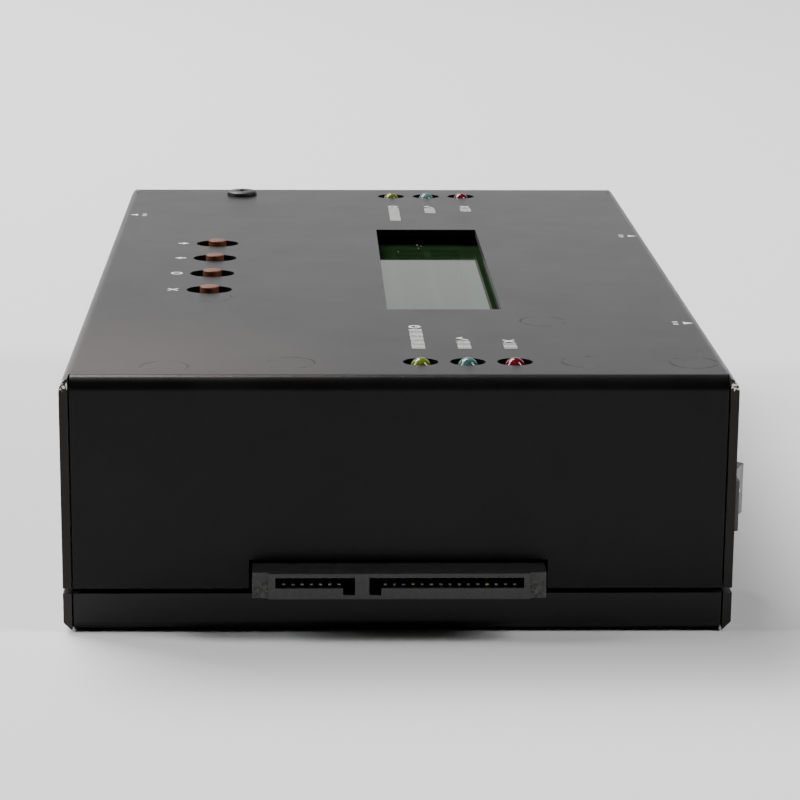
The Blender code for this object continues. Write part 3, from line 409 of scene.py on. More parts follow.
def ribbon(path, width, closed=False):
    """The outline pieces of a line of this width along a path, with mitred corners."""
    count = len(path)
    sides = []
    for here in range(count):
        dot = Vector(path[here])
        ways = []
        if here or closed:
            ways.append((dot - Vector(path[here - 1])).normalized())
        if here < count - 1 or closed:
            ways.append((Vector(path[(here + 1) % count]) - dot).normalized())
        way = sum(ways, Vector((0, 0))).normalized()
        lean = max(way.dot(ways[0]), 0.4)
        side = Vector((-way.y, way.x)) * width / 2 / lean
        sides.append((dot + side, dot - side))
    steps = range(count if closed else count - 1)
    return [
        [tuple(sides[step][1]), tuple(sides[(step + 1) % count][1]),
         tuple(sides[(step + 1) % count][0]), tuple(sides[step][0])]
        for step in steps
    ]


def arc(middle, radius, start, end, steps=20):
    turns = [start + (end - start) * step / steps for step in range(steps + 1)]
    return [(middle[0] + radius * math.cos(turn), middle[1] + radius * math.sin(turn)) for turn in turns]


def bar(along, up, width, height):
    return [[(along, up), (along + width, up), (along + width, up + height), (along, up + height)]]


def arrow(height, way):
    """An upright arrow. way is 1 for up and -1 for down."""
    middle = height / 2
    points = [(0, 1), (0.42, 0.42), (0.14, 0.42), (0.14, 0), (-0.14, 0), (-0.14, 0.42), (-0.42, 0.42)]
    return [[(x * height + middle, middle + way * (y * height - middle)) for x, y in points]]


def cross(height):
    """A diagonal cross: one whole stroke, and two halves that stop short of it."""
    low = ink_line / 2
    span = height - ink_line
    pieces = ribbon([(low, low), (low + span, low + span)], ink_line)
    for start, end in ((0.0, 0.42), (0.58, 1.0)):
        near = (low + span * start, low + span * (1 - start))
        far = (low + span * end, low + span * (1 - end))
        pieces += ribbon([near, far], ink_line)
    return pieces


def ring(height):
    middle = height / 2
    circle = arc((middle, middle), middle - ink_line / 2, 0, 2 * math.pi, 24)
    return ribbon(circle[:-1], ink_line, closed=True)


def tick(height):
    corners = [(0.1, 0.5), (0.4, 0.12), (1.05, 0.9)]
    return ribbon([(x * height, y * height) for x, y in corners], ink_line)


def power_mark(height):
    middle = height / 2
    start = math.radians(125)
    dial = ribbon(arc((middle, middle), middle - ink_line / 2, start, start + math.radians(290)), ink_line)
    return dial + bar(middle - ink_line / 2, middle, ink_line, middle)


def bars(along, count, height):
    """A row of upright bars, as on a level scale."""
    places = [along + number * bar_pitch for number in range(count)]
    return [piece for place in places for piece in bar(place, 0, ink_line, height)]


def pointer(height):
    """A small solid triangle that points to the wall behind it."""
    return [[(0, 0), (height, 0), (height / 2, height)]]


def print_on_roof(builder, pieces, x, y, reading=(0, -1)):
    """Ink pieces with their lower left corner at x, y. reading is the way the mark runs."""
    rise = (-reading[1], reading[0])
    for points in pieces:
        placed = [(x + u * reading[0] + v * rise[0], y + u * reading[1] + v * rise[1]) for u, v in points]
        raised_outline(builder, placed, roof_top + ink_lift, roof_top + ink_lift + ink_thickness)


ink = bmesh.new()
button_symbols = [
    arrow(symbol_height, 1), arrow(symbol_height, -1), ring(symbol_height), cross(symbol_height),
]
for number, symbol in enumerate(button_symbols, 1):
    low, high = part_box("button_plunger_" + str(number))
    print_on_roof(ink, symbol, low[0] - symbol_from_button, (low[1] + high[1]) / 2 + symbol_height / 2)
lamp_marks = {
    "yellow": (power_mark(symbol_height), 15),
    "clear": (tick(symbol_height), 6),
    "red": (cross(symbol_height), 4),
}
for end in ("front", "rear"):
    for colour, (symbol, count) in lamp_marks.items():
        x = middle_of("lamp_" + end + "_" + colour)[0] - symbol_from_lamp
        length = mark_gap + count * bar_pitch
        y = front_marks_end + length if end == "front" else rear_marks_start
        print_on_roof(ink, symbol + bars(mark_gap, count, symbol_height), x, y)
port_sides = {"usb_shell": -1, "port_shell": 1, "power_inlet": 1}
for node_name, side in port_sides.items():
    middle = middle_of(node_name)[1]
    reading = (0, -side)
    x = side * pointer_x
    print_on_roof(ink, pointer(pointer_size), x, middle + side * pointer_size / 2, reading)
    inner = x - side * pointer_bars_gap
    print_on_roof(ink, bars(0, 3, pointer_bar_height), inner, middle + side * bar_pitch * 1.2, reading)
white_ink = Finish("white_screen_ink", (0.78, 0.78, 0.76), 0.55)
worn_print = white_ink.between(white_ink.noise(ink_wear, detail=3.0), 0.3, 0.5)
white_ink.drive("Base Color", white_ink.blend(worn_print, (0.4, 0.4, 0.39), (0.8, 0.8, 0.78)))
white_ink.emboss(white_ink.noise(fine_grain), ink_relief)


def show_built(builder, name, finish, body, *replaced):
    """A piece made from its faces, in its finish, riding on its body."""
    return settle(bpy.data.objects.new(name, mesh_from(builder, name, finish)), body, *replaced)


bmesh.ops.recalc_face_normals(ink, faces=ink.faces)
show_built(ink, "printed_marks", white_ink.material, "case")


# The display is a bought two-line module: a black stamped steel frame over a dark green
# glass sandwich with a gloss face, on a light block and a green board with a pin header.
def plain_solid(builder, low, high, ease=0.0, steps=2):
    """A block between two corners, with its edges rounded by ease."""
    made = bmesh.ops.create_cube(builder, size=1.0)["verts"]
    for dot in made:
        dot.co = Vector(low[axis] + (dot.co[axis] + 0.5) * (high[axis] - low[axis]) for axis in range(3))
    if ease:
        edges = list({edge for dot in made for edge in dot.link_edges})
        bmesh.ops.bevel(
            builder, geom=edges, offset=ease, segments=steps, profile=0.5, affect="EDGES",
            clamp_overlap=True, material=0,
        )


def copies_tree():
    """Geometry nodes that set copies of a piece out in rows and columns, and join them."""
    tree = bpy.data.node_groups.new("copies_in_rows", "GeometryNodeTree")
    tree.interface.new_socket("Geometry", in_out="OUTPUT", socket_type="NodeSocketGeometry")
    kinds = {
        "Piece": "NodeSocketObject", "Finish": "NodeSocketMaterial", "Start": "NodeSocketVector",
        "Columns": "NodeSocketInt", "Column Step": "NodeSocketVector",
        "Rows": "NodeSocketInt", "Row Step": "NodeSocketVector",
    }
    for name, kind in kinds.items():
        tree.interface.new_socket(name, in_out="INPUT", socket_type=kind)
    def step(kind, sources):
        """A node whose named inputs are fed from these outputs."""
        made = tree.nodes.new(kind)
        for socket, source in sources.items():
            tree.links.new(source, made.inputs[socket])
        return made.outputs

    given = tree.nodes.new("NodeGroupInput").outputs
    rows = step("GeometryNodeMeshLine", {
        "Count": given["Rows"], "Offset": given["Row Step"], "Start Location": given["Start"],
    })
    columns = step("GeometryNodeMeshLine", {"Count": given["Columns"], "Offset": given["Column Step"]})
    lines = step("GeometryNodeInstanceOnPoints", {"Points": rows["Mesh"], "Instance": columns["Mesh"]})
    places = step("GeometryNodeRealizeInstances", {"Geometry": lines["Instances"]})
    piece = step("GeometryNodeObjectInfo", {"Object": given["Piece"]})
    copies = step("GeometryNodeInstanceOnPoints", {
        "Points": places["Geometry"], "Instance": piece["Geometry"],
    })
    joined = step("GeometryNodeRealizeInstances", {"Geometry": copies["Instances"]})
    finished = step("GeometryNodeSetMaterial", {"Geometry": joined["Geometry"], "Material": given["Finish"]})
    step("NodeGroupOutput", {"Geometry": finished["Geometry"]})
    return tree


rows_and_columns = copies_tree()


def repeated(name, unit, material, start, columns, column_step, rows=1, row_step=(0, 0, 0)):
    """A plain mesh piece of many copies of the unit, a bmesh built round the origin."""
    seed = bpy.data.objects.new(name + "_unit", mesh_from(unit, name + "_unit", material))
    holder = bpy.data.objects.new(name, bpy.data.meshes.new(name))
    bpy.context.scene.collection.objects.link(seed)
    bpy.context.scene.collection.objects.link(holder)
    pattern = holder.modifiers.new("copies", "NODES")
    pattern.node_group = rows_and_columns
    values = {
        "Piece": seed, "Finish": material, "Start": start, "Columns": columns, "Column Step": column_step,
        "Rows": rows, "Row Step": row_step,
    }
    for item in rows_and_columns.interface.items_tree:
        if item.in_out == "INPUT":
            pattern[item.identifier] = values[item.name]
    bpy.context.view_layer.update()
    seen = holder.evaluated_get(bpy.context.evaluated_depsgraph_get())
    mesh = bpy.data.meshes.new_from_object(seen)
    bpy.data.objects.remove(holder)
    bpy.data.objects.remove(seed)
    mesh.name = name
    mesh.set_sharp_from_angle(angle=smooth_angle)
    return bpy.data.objects.new(name, mesh)


steel_patch = 1.2 * MM
steel_grain = 0.1 * MM
steel_relief = 0.003 * MM
frame_edge = 0.15 * MM
stamped_steel = Finish("black_stamped_steel", (0.012, 0.012, 0.012), 0.42, ior=1.4)
steel_cloud = stamped_steel.noise(steel_patch)
stamped_steel.drive("Roughness", stamped_steel.between(steel_cloud, 0.3, 0.7, 0.36, 0.5))
stamped_steel.emboss(stamped_steel.noise(steel_grain), steel_relief)
dress("lcd_frame", "display_frame", stamped_steel.material, frame_edge)

smear_size = 7.0 * MM
pane_edge = 0.1 * MM
glass_low, glass_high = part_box("lcd_glass")
display_glass = Finish("display_glass", (0.012, 0.026, 0.009), 0.03, ior=1.32)
display_glass.hold("Specular Tint", (0.1, 1.0, 0.2, 1.0))
smear = display_glass.between(display_glass.noise(smear_size, detail=4.0), 0.35, 0.7)
display_glass.vary(smear, (0.009, 0.022, 0.007), (0.014, 0.030, 0.012), 0.02, 0.07)
glass = bmesh.new()
plain_solid(glass, glass_low, glass_high, ease=pane_edge)
show_built(glass, "display_pane", display_glass.material, "case", "lcd_glass")

cell_size = 0.52 * MM
cell_pitch = 0.58 * MM
cell_rise = 0.62 * MM
cell_columns = 5
cell_rows = 8
letter_pitch = 3.55 * MM
line_pitch = 6.0 * MM
letters_in_line = 16
cell_lift = 0.002 * MM
film_patch = 5.0 * MM
cells = bmesh.new()
for column in range(cell_columns):
    for row in range(cell_rows):
        near_x = row * cell_rise
        far_x = near_x + cell_size
        far_y = -column * cell_pitch
        near_y = far_y - cell_size
        corners = [(near_x, near_y), (far_x, near_y), (far_x, far_y), (near_x, far_y)]
        cells.faces.new([cells.verts.new((x, y, cell_lift)) for x, y in corners])
cell_film = Finish("display_cells", (0.007, 0.015, 0.006), 0.03, ior=1.32)
cell_film.hold("Specular Tint", (0.1, 1.0, 0.2, 1.0))
cell_film.drive("Roughness", cell_film.between(cell_film.noise(film_patch), 0.3, 0.7, 0.02, 0.06))
first_letter = (
    middle_of("lcd_glass")[0] - line_pitch / 2 - cell_rise * cell_rows / 2,
    letter_pitch * (letters_in_line - 1) / 2 + cell_pitch * cell_columns / 2,
    glass_high[2],
)
lines_of_letters = repeated(
    "display_cells", cells, cell_film.material, first_letter, letters_in_line, (0, -letter_pitch, 0),
    2, (line_pitch, 0, 0),
)
settle(lines_of_letters, "case")

# Each speck's X, Y and radius, in millimetres.
dust_specks = [(6.75, 32.3, 0.17), (7.4, 31.4, 0.1), (6.9, 29.2, 0.1), (3.2, 26.2, 0.1), (12.6, 5.0, 0.05)]
lint_grain = 0.05 * MM
lint_relief = 0.01 * MM
dust = bmesh.new()
for x, y, radius in dust_specks:
    speck = bmesh.ops.create_icosphere(dust, subdivisions=1, radius=radius * MM)["verts"]
    for dot in speck:
        dot.co.z *= 0.5
        dot.co += Vector((x * MM, y * MM, glass_high[2] + cell_lift + radius * MM * 0.4))
lint = Finish("white_lint", (0.6, 0.6, 0.58), 0.9)
lint.emboss(lint.noise(lint_grain), lint_relief)
show_built(dust, "dust_on_display", lint.material, "case")

# The push buttons: round plungers turned from orange-brown acetal, each standing on the dome
# of a square key switch with a riveted steel lid, and loose in an oval hole in the roof.
acetal_patch = 0.9 * MM
acetal_grain = 0.12 * MM
acetal_relief = 0.004 * MM
acetal_scatter = (1.0 * MM, 0.3 * MM, 0.1 * MM)
acetal = Finish("orange_brown_acetal", (0.14, 0.045, 0.022), 0.42, ior=1.33)
acetal.hold("Subsurface Weight", 0.08)
acetal.hold("Subsurface Radius", acetal_scatter)
rubbed = acetal.between(acetal.noise(acetal_patch, detail=3.0), 0.3, 0.7)
acetal.vary(rubbed, (0.12, 0.040, 0.022), (0.17, 0.058, 0.032), 0.38, 0.5)
acetal.emboss(acetal.noise(acetal_grain, stretch=(1.0, 1.0, 5.0)), acetal_relief)
nylon_patch = 1.6 * MM
nylon_grain = 0.09 * MM
nylon_relief = 0.004 * MM
black_nylon = Finish("black_moulded_nylon", (0.012, 0.012, 0.0125), 0.5, ior=1.35)
nylon_cloud = black_nylon.noise(nylon_patch, detail=3.0)
black_nylon.vary(nylon_cloud, (0.009, 0.009, 0.0095), (0.016, 0.016, 0.016), 0.42, 0.56, edges=(0.3, 0.7))
black_nylon.emboss(black_nylon.noise(nylon_grain), nylon_relief)
nickel_patch = 1.4 * MM
nickel_grain = 0.08 * MM
nickel_relief = 0.002 * MM
nickel = Finish("nickelled_steel", (0.6, 0.585, 0.56), 0.28, metallic=1.0)
nickel_cloud = nickel.noise(nickel_patch, detail=3.0)
nickel.vary(nickel_cloud, (0.57, 0.555, 0.53), (0.63, 0.615, 0.59), 0.26, 0.34, edges=(0.3, 0.7))
nickel.emboss(nickel.noise(nickel_grain, stretch=(1.0, 4.0, 1.0)), nickel_relief)


def lathed(builder, profile, middle, steps):
    """A turned solid about Z. The profile runs down from the axis to the axis again."""
    turns = [2 * math.pi * step / steps for step in range(steps)]
    loops = []
    for radius, height in profile:
        z = middle[2] + height
        spokes = turns if radius else turns[:1]
        loops.append([
            builder.verts.new((middle[0] + radius * math.cos(turn), middle[1] + radius * math.sin(turn), z))
            for turn in spokes
        ])
    for upper, lower in zip(loops, loops[1:]):
        for here in range(steps):
            there = (here + 1) % steps
            corners = [
                upper[here % len(upper)], lower[here % len(lower)],
                lower[there % len(lower)], upper[there % len(upper)],
            ]
            whole = [dot for place, dot in enumerate(corners) if dot not in corners[:place]]
            builder.faces.new(whole)


plunger_radius = 1.5 * MM
plunger_crown = 0.18 * MM
crown_steps = 4
key_edge = 0.15 * MM
key_half = 3.0 * MM
rivet_radius = 0.35 * MM
rivet_height = 0.2 * MM
rivet_shoulder = 0.05 * MM
rivet_inset = 0.95 * MM
rivet_profile = [
    (0, rivet_height), (rivet_radius * 0.8, rivet_height * 0.9), (rivet_radius, rivet_shoulder),
    (rivet_radius, -rivet_height), (0, -rivet_height),
]
leg_x = 3.3 * MM
leg_y = 2.25 * MM
leg_half_thickness = 0.15 * MM
leg_half_width = 0.35 * MM
leg_below = 0.1 * MM
leg_above = 1.2 * MM
leg_edge = 0.05 * MM
for number in range(1, 5):
    plunger_node = "button_plunger_" + str(number)
    key_node = "key_switch_" + str(number)
    low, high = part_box(plunger_node)
    middle = middle_of(plunger_node)
    tall = high[2] - low[2]
    crown = []
    for step in range(crown_steps + 1):
        turn = math.pi / 2 * step / crown_steps
        crown.append((
            plunger_radius - plunger_crown + plunger_crown * math.sin(turn),
            tall - plunger_crown + plunger_crown * math.cos(turn),
        ))
    plunger = bmesh.new()
    lathed(plunger, [(0, tall)] + crown + [(plunger_radius, 0), (0, 0)], (middle[0], middle[1], low[2]), 40)
    show_built(plunger, "button_cap_" + str(number), acetal.material, "button_" + str(number), plunger_node)
    dress(key_node, "key_housing_" + str(number), black_nylon.material, key_edge)
    low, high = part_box(key_node)
    lid = bmesh.new()
    for side_x in (-1, 1):
        for side_y in (-1, 1):
            rivet_x = middle[0] + side_x * (key_half - rivet_inset)
            rivet_y = middle[1] + side_y * (key_half - rivet_inset)
            lathed(lid, rivet_profile, (rivet_x, rivet_y, high[2]), 16)
            foot = Vector((middle[0] + side_x * leg_x, middle[1] + side_y * leg_y, low[2]))
            leg_low = foot - Vector((leg_half_thickness, leg_half_width, leg_below))
            leg_high = foot + Vector((leg_half_thickness, leg_half_width, leg_above))
            plain_solid(lid, leg_low, leg_high, ease=leg_edge, steps=1)
    show_built(lid, "key_rivets_" + str(number), nickel.material, "case")

# The lamps: three-millimetre lamps cast in tinted epoxy, each with a dome and a rim round its
# foot. Each row of three stands in a black holder on the upper board.
lamp_tints = {
    "yellow": ("yellow_green_epoxy", (0.12, 0.165, 0.008), (0.21, 0.27, 0.03)),
    "clear": ("teal_epoxy", (0.065, 0.17, 0.15), (0.12, 0.27, 0.24)),
    "red": ("red_epoxy", (0.16, 0.008, 0.016), (0.28, 0.016, 0.034)),
}
lamp_radius = 1.5 * MM
lamp_rim = 1.9 * MM
lamp_rim_height = 1.0 * MM
lamp_rim_slope = 0.1 * MM
lamp_depths = 1.1 * MM
lamp_holder_edge = 0.3 * MM
dome_steps = 10
for colour, (name, deep, bright) in lamp_tints.items():
    epoxy = Finish(name, bright, 0.06, ior=1.5)
    depth = epoxy.between(epoxy.noise(lamp_depths), 0.35, 0.65)
    epoxy.vary(depth, deep, bright, 0.04, 0.10)
    epoxy.hold("Transmission Weight", 0.35)
    for end in ("front", "rear"):
        solid = "lamp_" + end + "_" + colour
        low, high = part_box(solid)
        middle = middle_of(solid)
        tall = high[2] - low[2]
        profile = []
        for step in range(dome_steps + 1):
            turn = math.pi / 2 * step / dome_steps
            profile.append((lamp_radius * math.sin(turn), tall - lamp_radius + lamp_radius * math.cos(turn)))
        profile += [(lamp_radius, lamp_rim_height), (lamp_rim, lamp_rim_height - lamp_rim_slope)]
        lamp = bmesh.new()
        lathed(lamp, profile + [(lamp_rim, 0), (0, 0)], (middle[0], middle[1], low[2]), 40)
        show_built(lamp, "lens_" + end + "_" + colour, epoxy.material, "case", solid)
for end in ("front", "rear"):
    dress("lamp_holder_" + end, "lamp_bar_" + end, black_nylon.material, lamp_holder_edge)

# The drive sockets: glass-filled black polyester, broken off the moulding strip at both ends,
# so that the ends are rough and pale. The rear one is the front one, turned half round.
resin_patch = 0.7 * MM
resin_grain = 0.15 * MM
resin_relief = 0.006 * MM
torn_from = 18.05 * MM
torn_top = 8.8 * MM
torn_grain = 0.5 * MM
torn_relief = 0.08 * MM
socket_edge = 0.1 * MM
socket_plastic = Finish("black_glass_filled_polyester", (0.018, 0.018, 0.018), 0.45, ior=1.5)
resin = socket_plastic.between(socket_plastic.noise(resin_patch, detail=4.0), 0.35, 0.65)
across, _, height = socket_plastic.axes()
on_ears = socket_plastic.sum("GREATER_THAN", socket_plastic.sum("ABSOLUTE", across), torn_from)
torn = socket_plastic.sum("MULTIPLY", on_ears, socket_plastic.sum("LESS_THAN", height, torn_top))
torn_cloud = socket_plastic.between(socket_plastic.noise(torn_grain, detail=4.0), 0.35, 0.6)
torn_patches = socket_plastic.sum("MULTIPLY", torn, torn_cloud)
resin_tone = socket_plastic.blend(resin, (0.014, 0.014, 0.0145), (0.026, 0.026, 0.025))
resin_gloss = socket_plastic.between(resin, 0.0, 1.0, 0.38, 0.5)
socket_plastic.drive("Base Color", socket_plastic.blend(torn_patches, resin_tone, (0.07, 0.074, 0.066)))
dulled = socket_plastic.sum("MULTIPLY", torn, 0.2)
socket_plastic.drive("Roughness", socket_plastic.sum("ADD", resin_gloss, dulled))
socket_plastic.emboss(socket_plastic.noise(resin_grain), resin_relief)
socket_plastic.emboss(torn_patches, torn_relief)

plating_patch = 0.6 * MM
gilded = Finish("gold_plated_bronze", (0.62, 0.47, 0.2), 0.3, metallic=1.0)
plating = gilded.between(gilded.noise(plating_patch, detail=3.0), 0.3, 0.7)
gilded.vary(plating, (0.42, 0.36, 0.22), (0.74, 0.56, 0.26), 0.24, 0.4)
tin_patch = 0.5 * MM
tinned = Finish("tinned_bronze", (0.36, 0.35, 0.32), 0.42, metallic=1.0)
tin_cloud = tinned.between(tinned.noise(tin_patch, detail=3.0), 0.3, 0.7)
tinned.vary(tin_cloud, (0.24, 0.235, 0.22), (0.46, 0.45, 0.42), 0.34, 0.5)
contact_pitch = 1.27 * MM
contact_width = 0.42 * MM
contact_gauge = 0.22 * MM
contact_floor = 7.95 * MM
contact_tip_y = -79.5 * MM
contact_rows = {"signal": (-15.875 * MM, 7), "power": (-1.905 * MM, 15)}
gilded_columns = (3, 11)
# The side profile of a contact in millimetres: how far behind its tip, and how far above the floor.
contact_bends = [(0.0, 0.0), (0.25, 0.04), (1.3, 0.24), (3.0, 0.12), (13.5, 0.05), (15.9, 0.05)]
contact_path = [(contact_tip_y + back * MM, rise * MM) for back, rise in contact_bends]

def contact_finger(builder):
    """One spring contact in its side profile, bent up near its tip."""
    upper = [(y, z + contact_gauge) for y, z in contact_path]
    profile = contact_path + list(reversed(upper))
    halves = []
    for x in (-contact_width / 2, contact_width / 2):
        halves.append([builder.verts.new((x, y, z)) for y, z in profile])
    near, far = halves
    count = len(contact_path)
    for here in range(count - 1):
        mirror = len(profile) - 1 - here
        for side, flip in ((near, False), (far, True)):
            corners = [side[here], side[here + 1], side[mirror - 1], side[mirror]]
            builder.faces.new(list(reversed(corners)) if flip else corners)
    for here in range(len(profile)):
        there = (here + 1) % len(profile)
        builder.faces.new((near[here], far[here], far[there], near[there]))
    bmesh.ops.recalc_face_normals(builder, faces=builder.faces)


for end, turn in (("front", 0.0), ("rear", math.pi)):
    dress("drive_socket_" + end, "socket_moulding_" + end, socket_plastic.material, socket_edge)
    for kind, (first_x, count) in contact_rows.items():
        finger = bmesh.new()
        contact_finger(finger)
        first = (first_x, 0, contact_floor)
        name = kind + "_fingers_" + end
        piece = repeated(name, finger, tinned.material, first, count, (contact_pitch, 0, 0))
        piece.data.materials.append(gilded.material)
        for face in piece.data.polygons:
            column = round((face.center.x - first_x) / contact_pitch)
            face.material_index = 1 if kind == "power" and column in gilded_columns else 0
        piece.data.transform(Matrix.Rotation(turn, 4, "Z"))
        settle(piece, "case", kind + "_contacts_" + end)

# The power switch: a black nylon rocker switch that is pushed in from outside. Its dark grey
# rocker tips on an upright pin and carries a white bar and a white ring.
switch_edge = 0.35 * MM
rocker_edge = 0.55 * MM
rocker_patch = 1.8 * MM
rocker_grain = 0.1 * MM
rocker_relief = 0.004 * MM
dress("power_switch", "switch_housing", black_nylon.material, switch_edge, 3)
rocker_plastic = Finish("dark_grey_nylon", (0.07, 0.069, 0.069), 0.4)
handled = rocker_plastic.between(rocker_plastic.noise(rocker_patch, detail=3.0), 0.3, 0.7)
rocker_plastic.vary(handled, (0.036, 0.035, 0.035), (0.050, 0.048, 0.049), 0.33, 0.45)
rocker_plastic.emboss(rocker_plastic.noise(rocker_grain), rocker_relief)
dress("power_rocker", "rocker_cap", rocker_plastic.material, rocker_edge, 3, body="rocker")

rocker_middle_z = middle_of("power_rocker")[2]
rocker_mesh = nodes["power_rocker"].data
steepest_face = 0.8
mark_lift = 0.01 * MM
mark_thickness = 0.03 * MM
mark_from_crease = 2.6 * MM
on_bar_length = 1.5 * MM
on_bar_width = 0.44 * MM
off_ring_radius = 0.85 * MM


def widest_face(way):
    """The widest outer face of the rocker whose normal points this way along the case."""
    outer = [face for face in rocker_mesh.polygons if face.normal.x > steepest_face]
    return max((face for face in outer if face.normal.y * way > 0), key=lambda face: face.area)


far_face = widest_face(-1)
near_face = widest_face(1)
far_corners = [rocker_mesh.vertices[number].co for number in far_face.vertices]
crease_corner = min(far_corners, key=lambda dot: dot.y)
crease = Vector((crease_corner.x, crease_corner.y, rocker_middle_z))


def on_rocker_face(builder, pieces, face, along):
    """Ink pieces on one half of the rocker, this far along it from the crease."""
    rise = Vector((0, 0, 1))
    out = face.normal
    run = rise.cross(out)
    turned = Matrix((run, rise, out)).transposed().to_4x4()
    place = Matrix.Translation(crease + run * along) @ turned
    for points in pieces:
        made = raised_outline(builder, points, mark_lift, mark_lift + mark_thickness)
        bmesh.ops.transform(builder, matrix=place, verts=made)


rocker_ink = bmesh.new()
on_bar = bar(-on_bar_length / 2, -on_bar_width / 2, on_bar_length, on_bar_width)
off_ring = ribbon(arc((0, 0), off_ring_radius, 0, 2 * math.pi, 24)[:-1], ink_line, closed=True)
on_rocker_face(rocker_ink, on_bar, far_face, mark_from_crease)
on_rocker_face(rocker_ink, off_ring, near_face, -mark_from_crease)
bmesh.ops.recalc_face_normals(rocker_ink, faces=rocker_ink.faces)
show_built(rocker_ink, "rocker_marks", white_ink.material, "rocker")

tab_gap = 3.5 * MM
tab_reach = 1.6 * MM
tab_rooted = 0.3 * MM
tab_half_width = 1.2 * MM
tab_half_thickness = 0.4 * MM
tab_edge = 0.15 * MM
switch_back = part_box("power_switch")[0][0]
switch_middle_y = middle_of("power_switch")[1]
tabs = bmesh.new()
for row in (-1, 1):
    root = Vector((switch_back, switch_middle_y + row * tab_gap, rocker_middle_z))
    tab_low = root - Vector((tab_reach, tab_half_width, tab_half_thickness))
    tab_high = root + Vector((tab_rooted, tab_half_width, tab_half_thickness))
    plain_solid(tabs, tab_low, tab_high, ease=tab_edge)
show_built(tabs, "switch_tabs", tinned.material, "case")

# The power inlet: a black moulded block behind a round hole in the wall. A bright sleeve
# lines its bore, and a nickelled brass pin stands in the middle.
inlet_edge = 0.3 * MM
drawn_grain = 0.1 * MM
dress("power_inlet", "inlet_moulding", black_nylon.material, inlet_edge)
inlet_brass = Finish("nickelled_brass", (0.66, 0.6, 0.44), 0.26, metallic=1.0)
drawn = inlet_brass.noise(drawn_grain, stretch=(0.15, 1.0, 1.0))
inlet_brass.vary(drawn, (0.58, 0.53, 0.4), (0.72, 0.66, 0.5), 0.2, 0.36, edges=(0.3, 0.7))


def turned_outwards(builder, profile, tip, steps=32):
    """A turned solid about an axis along X. Its profile's height counts from the tip."""
    before = set(builder.verts)
    lathed(builder, profile, (0, 0, 0), steps)
    fresh = [dot for dot in builder.verts if dot not in before]
    lay = Matrix.Translation(tip) @ Matrix.Rotation(math.pi / 2, 4, "Y")
    bmesh.ops.transform(builder, matrix=lay, verts=fresh)


def tube(inner, outer, length, tip, steps=32):
    """A plain tube along X, from its tip inwards."""
    builder = bmesh.new()
    walls = [(inner, 0), (outer, 0), (outer, -length), (inner, -length), (inner, 0)]
    turned_outwards(builder, walls, tip, steps)
    bmesh.ops.remove_doubles(builder, verts=builder.verts, dist=weld_distance)
    bmesh.ops.recalc_face_normals(builder, faces=builder.faces)
    return builder


pin_low, pin_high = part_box("inlet_pin")
pin_radius = (pin_high[2] - pin_low[2]) / 2
pin_length = pin_high[0] - pin_low[0]
pin_middle = middle_of("inlet_pin")
pin_nose = [(0.45, 0.03 * MM), (0.85, 0.22 * MM), (1.0, 0.6 * MM)]
pin_profile = [(0, 0)] + [(pin_radius * share, -back) for share, back in pin_nose]
pin_profile += [(pin_radius, -pin_length), (0, -pin_length)]
pin = bmesh.new()
turned_outwards(pin, pin_profile, (pin_high[0], *pin_middle[1:]))
show_built(pin, "inlet_centre_pin", inlet_brass.material, "case", "inlet_pin")
sleeve_outer = 3.1 * MM
sleeve_inner = 2.9 * MM
sleeve_length = 7.0 * MM
sleeve_depth = 1.2 * MM
inlet_mouth = (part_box("power_inlet")[1][0] - sleeve_depth, *pin_middle[1:])
sleeve = tube(sleeve_inner, sleeve_outer, sleeve_length, inlet_mouth)
show_built(sleeve, "inlet_sleeve", nickel.material, "case")

# The printer port: a drawn and nickelled shell round a black insert with nine gilded
# sockets, held by two hexagon jack screws.
port_shell_edge = 0.2 * MM
port_insert_edge = 0.12 * MM
jack_edge = 0.15 * MM
socket_pitch = 2.77 * MM
socket_row_gap = 2.84 * MM
socket_bore = 0.3 * MM
socket_wall = 0.54 * MM
socket_depth = 3.0 * MM
socket_inset = 0.12 * MM
dress("port_shell", "drawn_port_shell", nickel.material, port_shell_edge, 3)
dress("port_insert", "port_insulator", black_nylon.material, port_insert_edge)
port_middle = middle_of("port_shell")
insert_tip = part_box("port_insert")[1][0]
for row, count in ((0, 5), (1, 4)):
    gilt = tube(socket_bore, socket_wall, socket_depth, (0, 0, 0), 14)
    first = (
        insert_tip - socket_inset, port_middle[1] - socket_pitch * (count - 1) / 2,
        port_middle[2] + socket_row_gap * (0.5 - row),
    )
    name = "port_sockets_" + str(row + 1)
    settle(repeated(name, gilt, gilded.material, first, count, (0, socket_pitch, 0)), "case")
for number in ("1", "2"):
    dress("port_screw_" + number, "jack_screw_" + number, nickel.material, jack_edge)

# The data port: a shell folded from tinned steel, with two springs, round a white tongue
# with four gilded contacts on its underside.
data_shell_edge = 0.12 * MM
data_tongue_edge = 0.1 * MM
milky_patch = 1.5 * MM
milky_grain = 0.1 * MM
milky_relief = 0.003 * MM
dress("usb_shell", "folded_port_shell", nickel.material, data_shell_edge)
white_nylon = Finish("white_moulded_nylon", (0.62, 0.62, 0.59), 0.45)
milky = white_nylon.between(white_nylon.noise(milky_patch, detail=3.0), 0.3, 0.7)
white_nylon.vary(milky, (0.55, 0.55, 0.52), (0.68, 0.68, 0.655), 0.38, 0.52)
white_nylon.emboss(white_nylon.noise(milky_grain), milky_relief)
dress("usb_tongue", "port_tongue", white_nylon.material, data_tongue_edge)
tongue_low, tongue_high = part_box("usb_tongue")
tongue_thickness = 1.8 * MM
strip_length = 8.0 * MM
strip_half_width = 0.5 * MM
strip_bare = 0.05 * MM
strip_sunk = 0.03 * MM
strip_edge = 0.02 * MM
strip_pitch = 2.33 * MM
strip_root = 0.6 * MM
strip_half_row = 3.5 * MM
strip = bmesh.new()
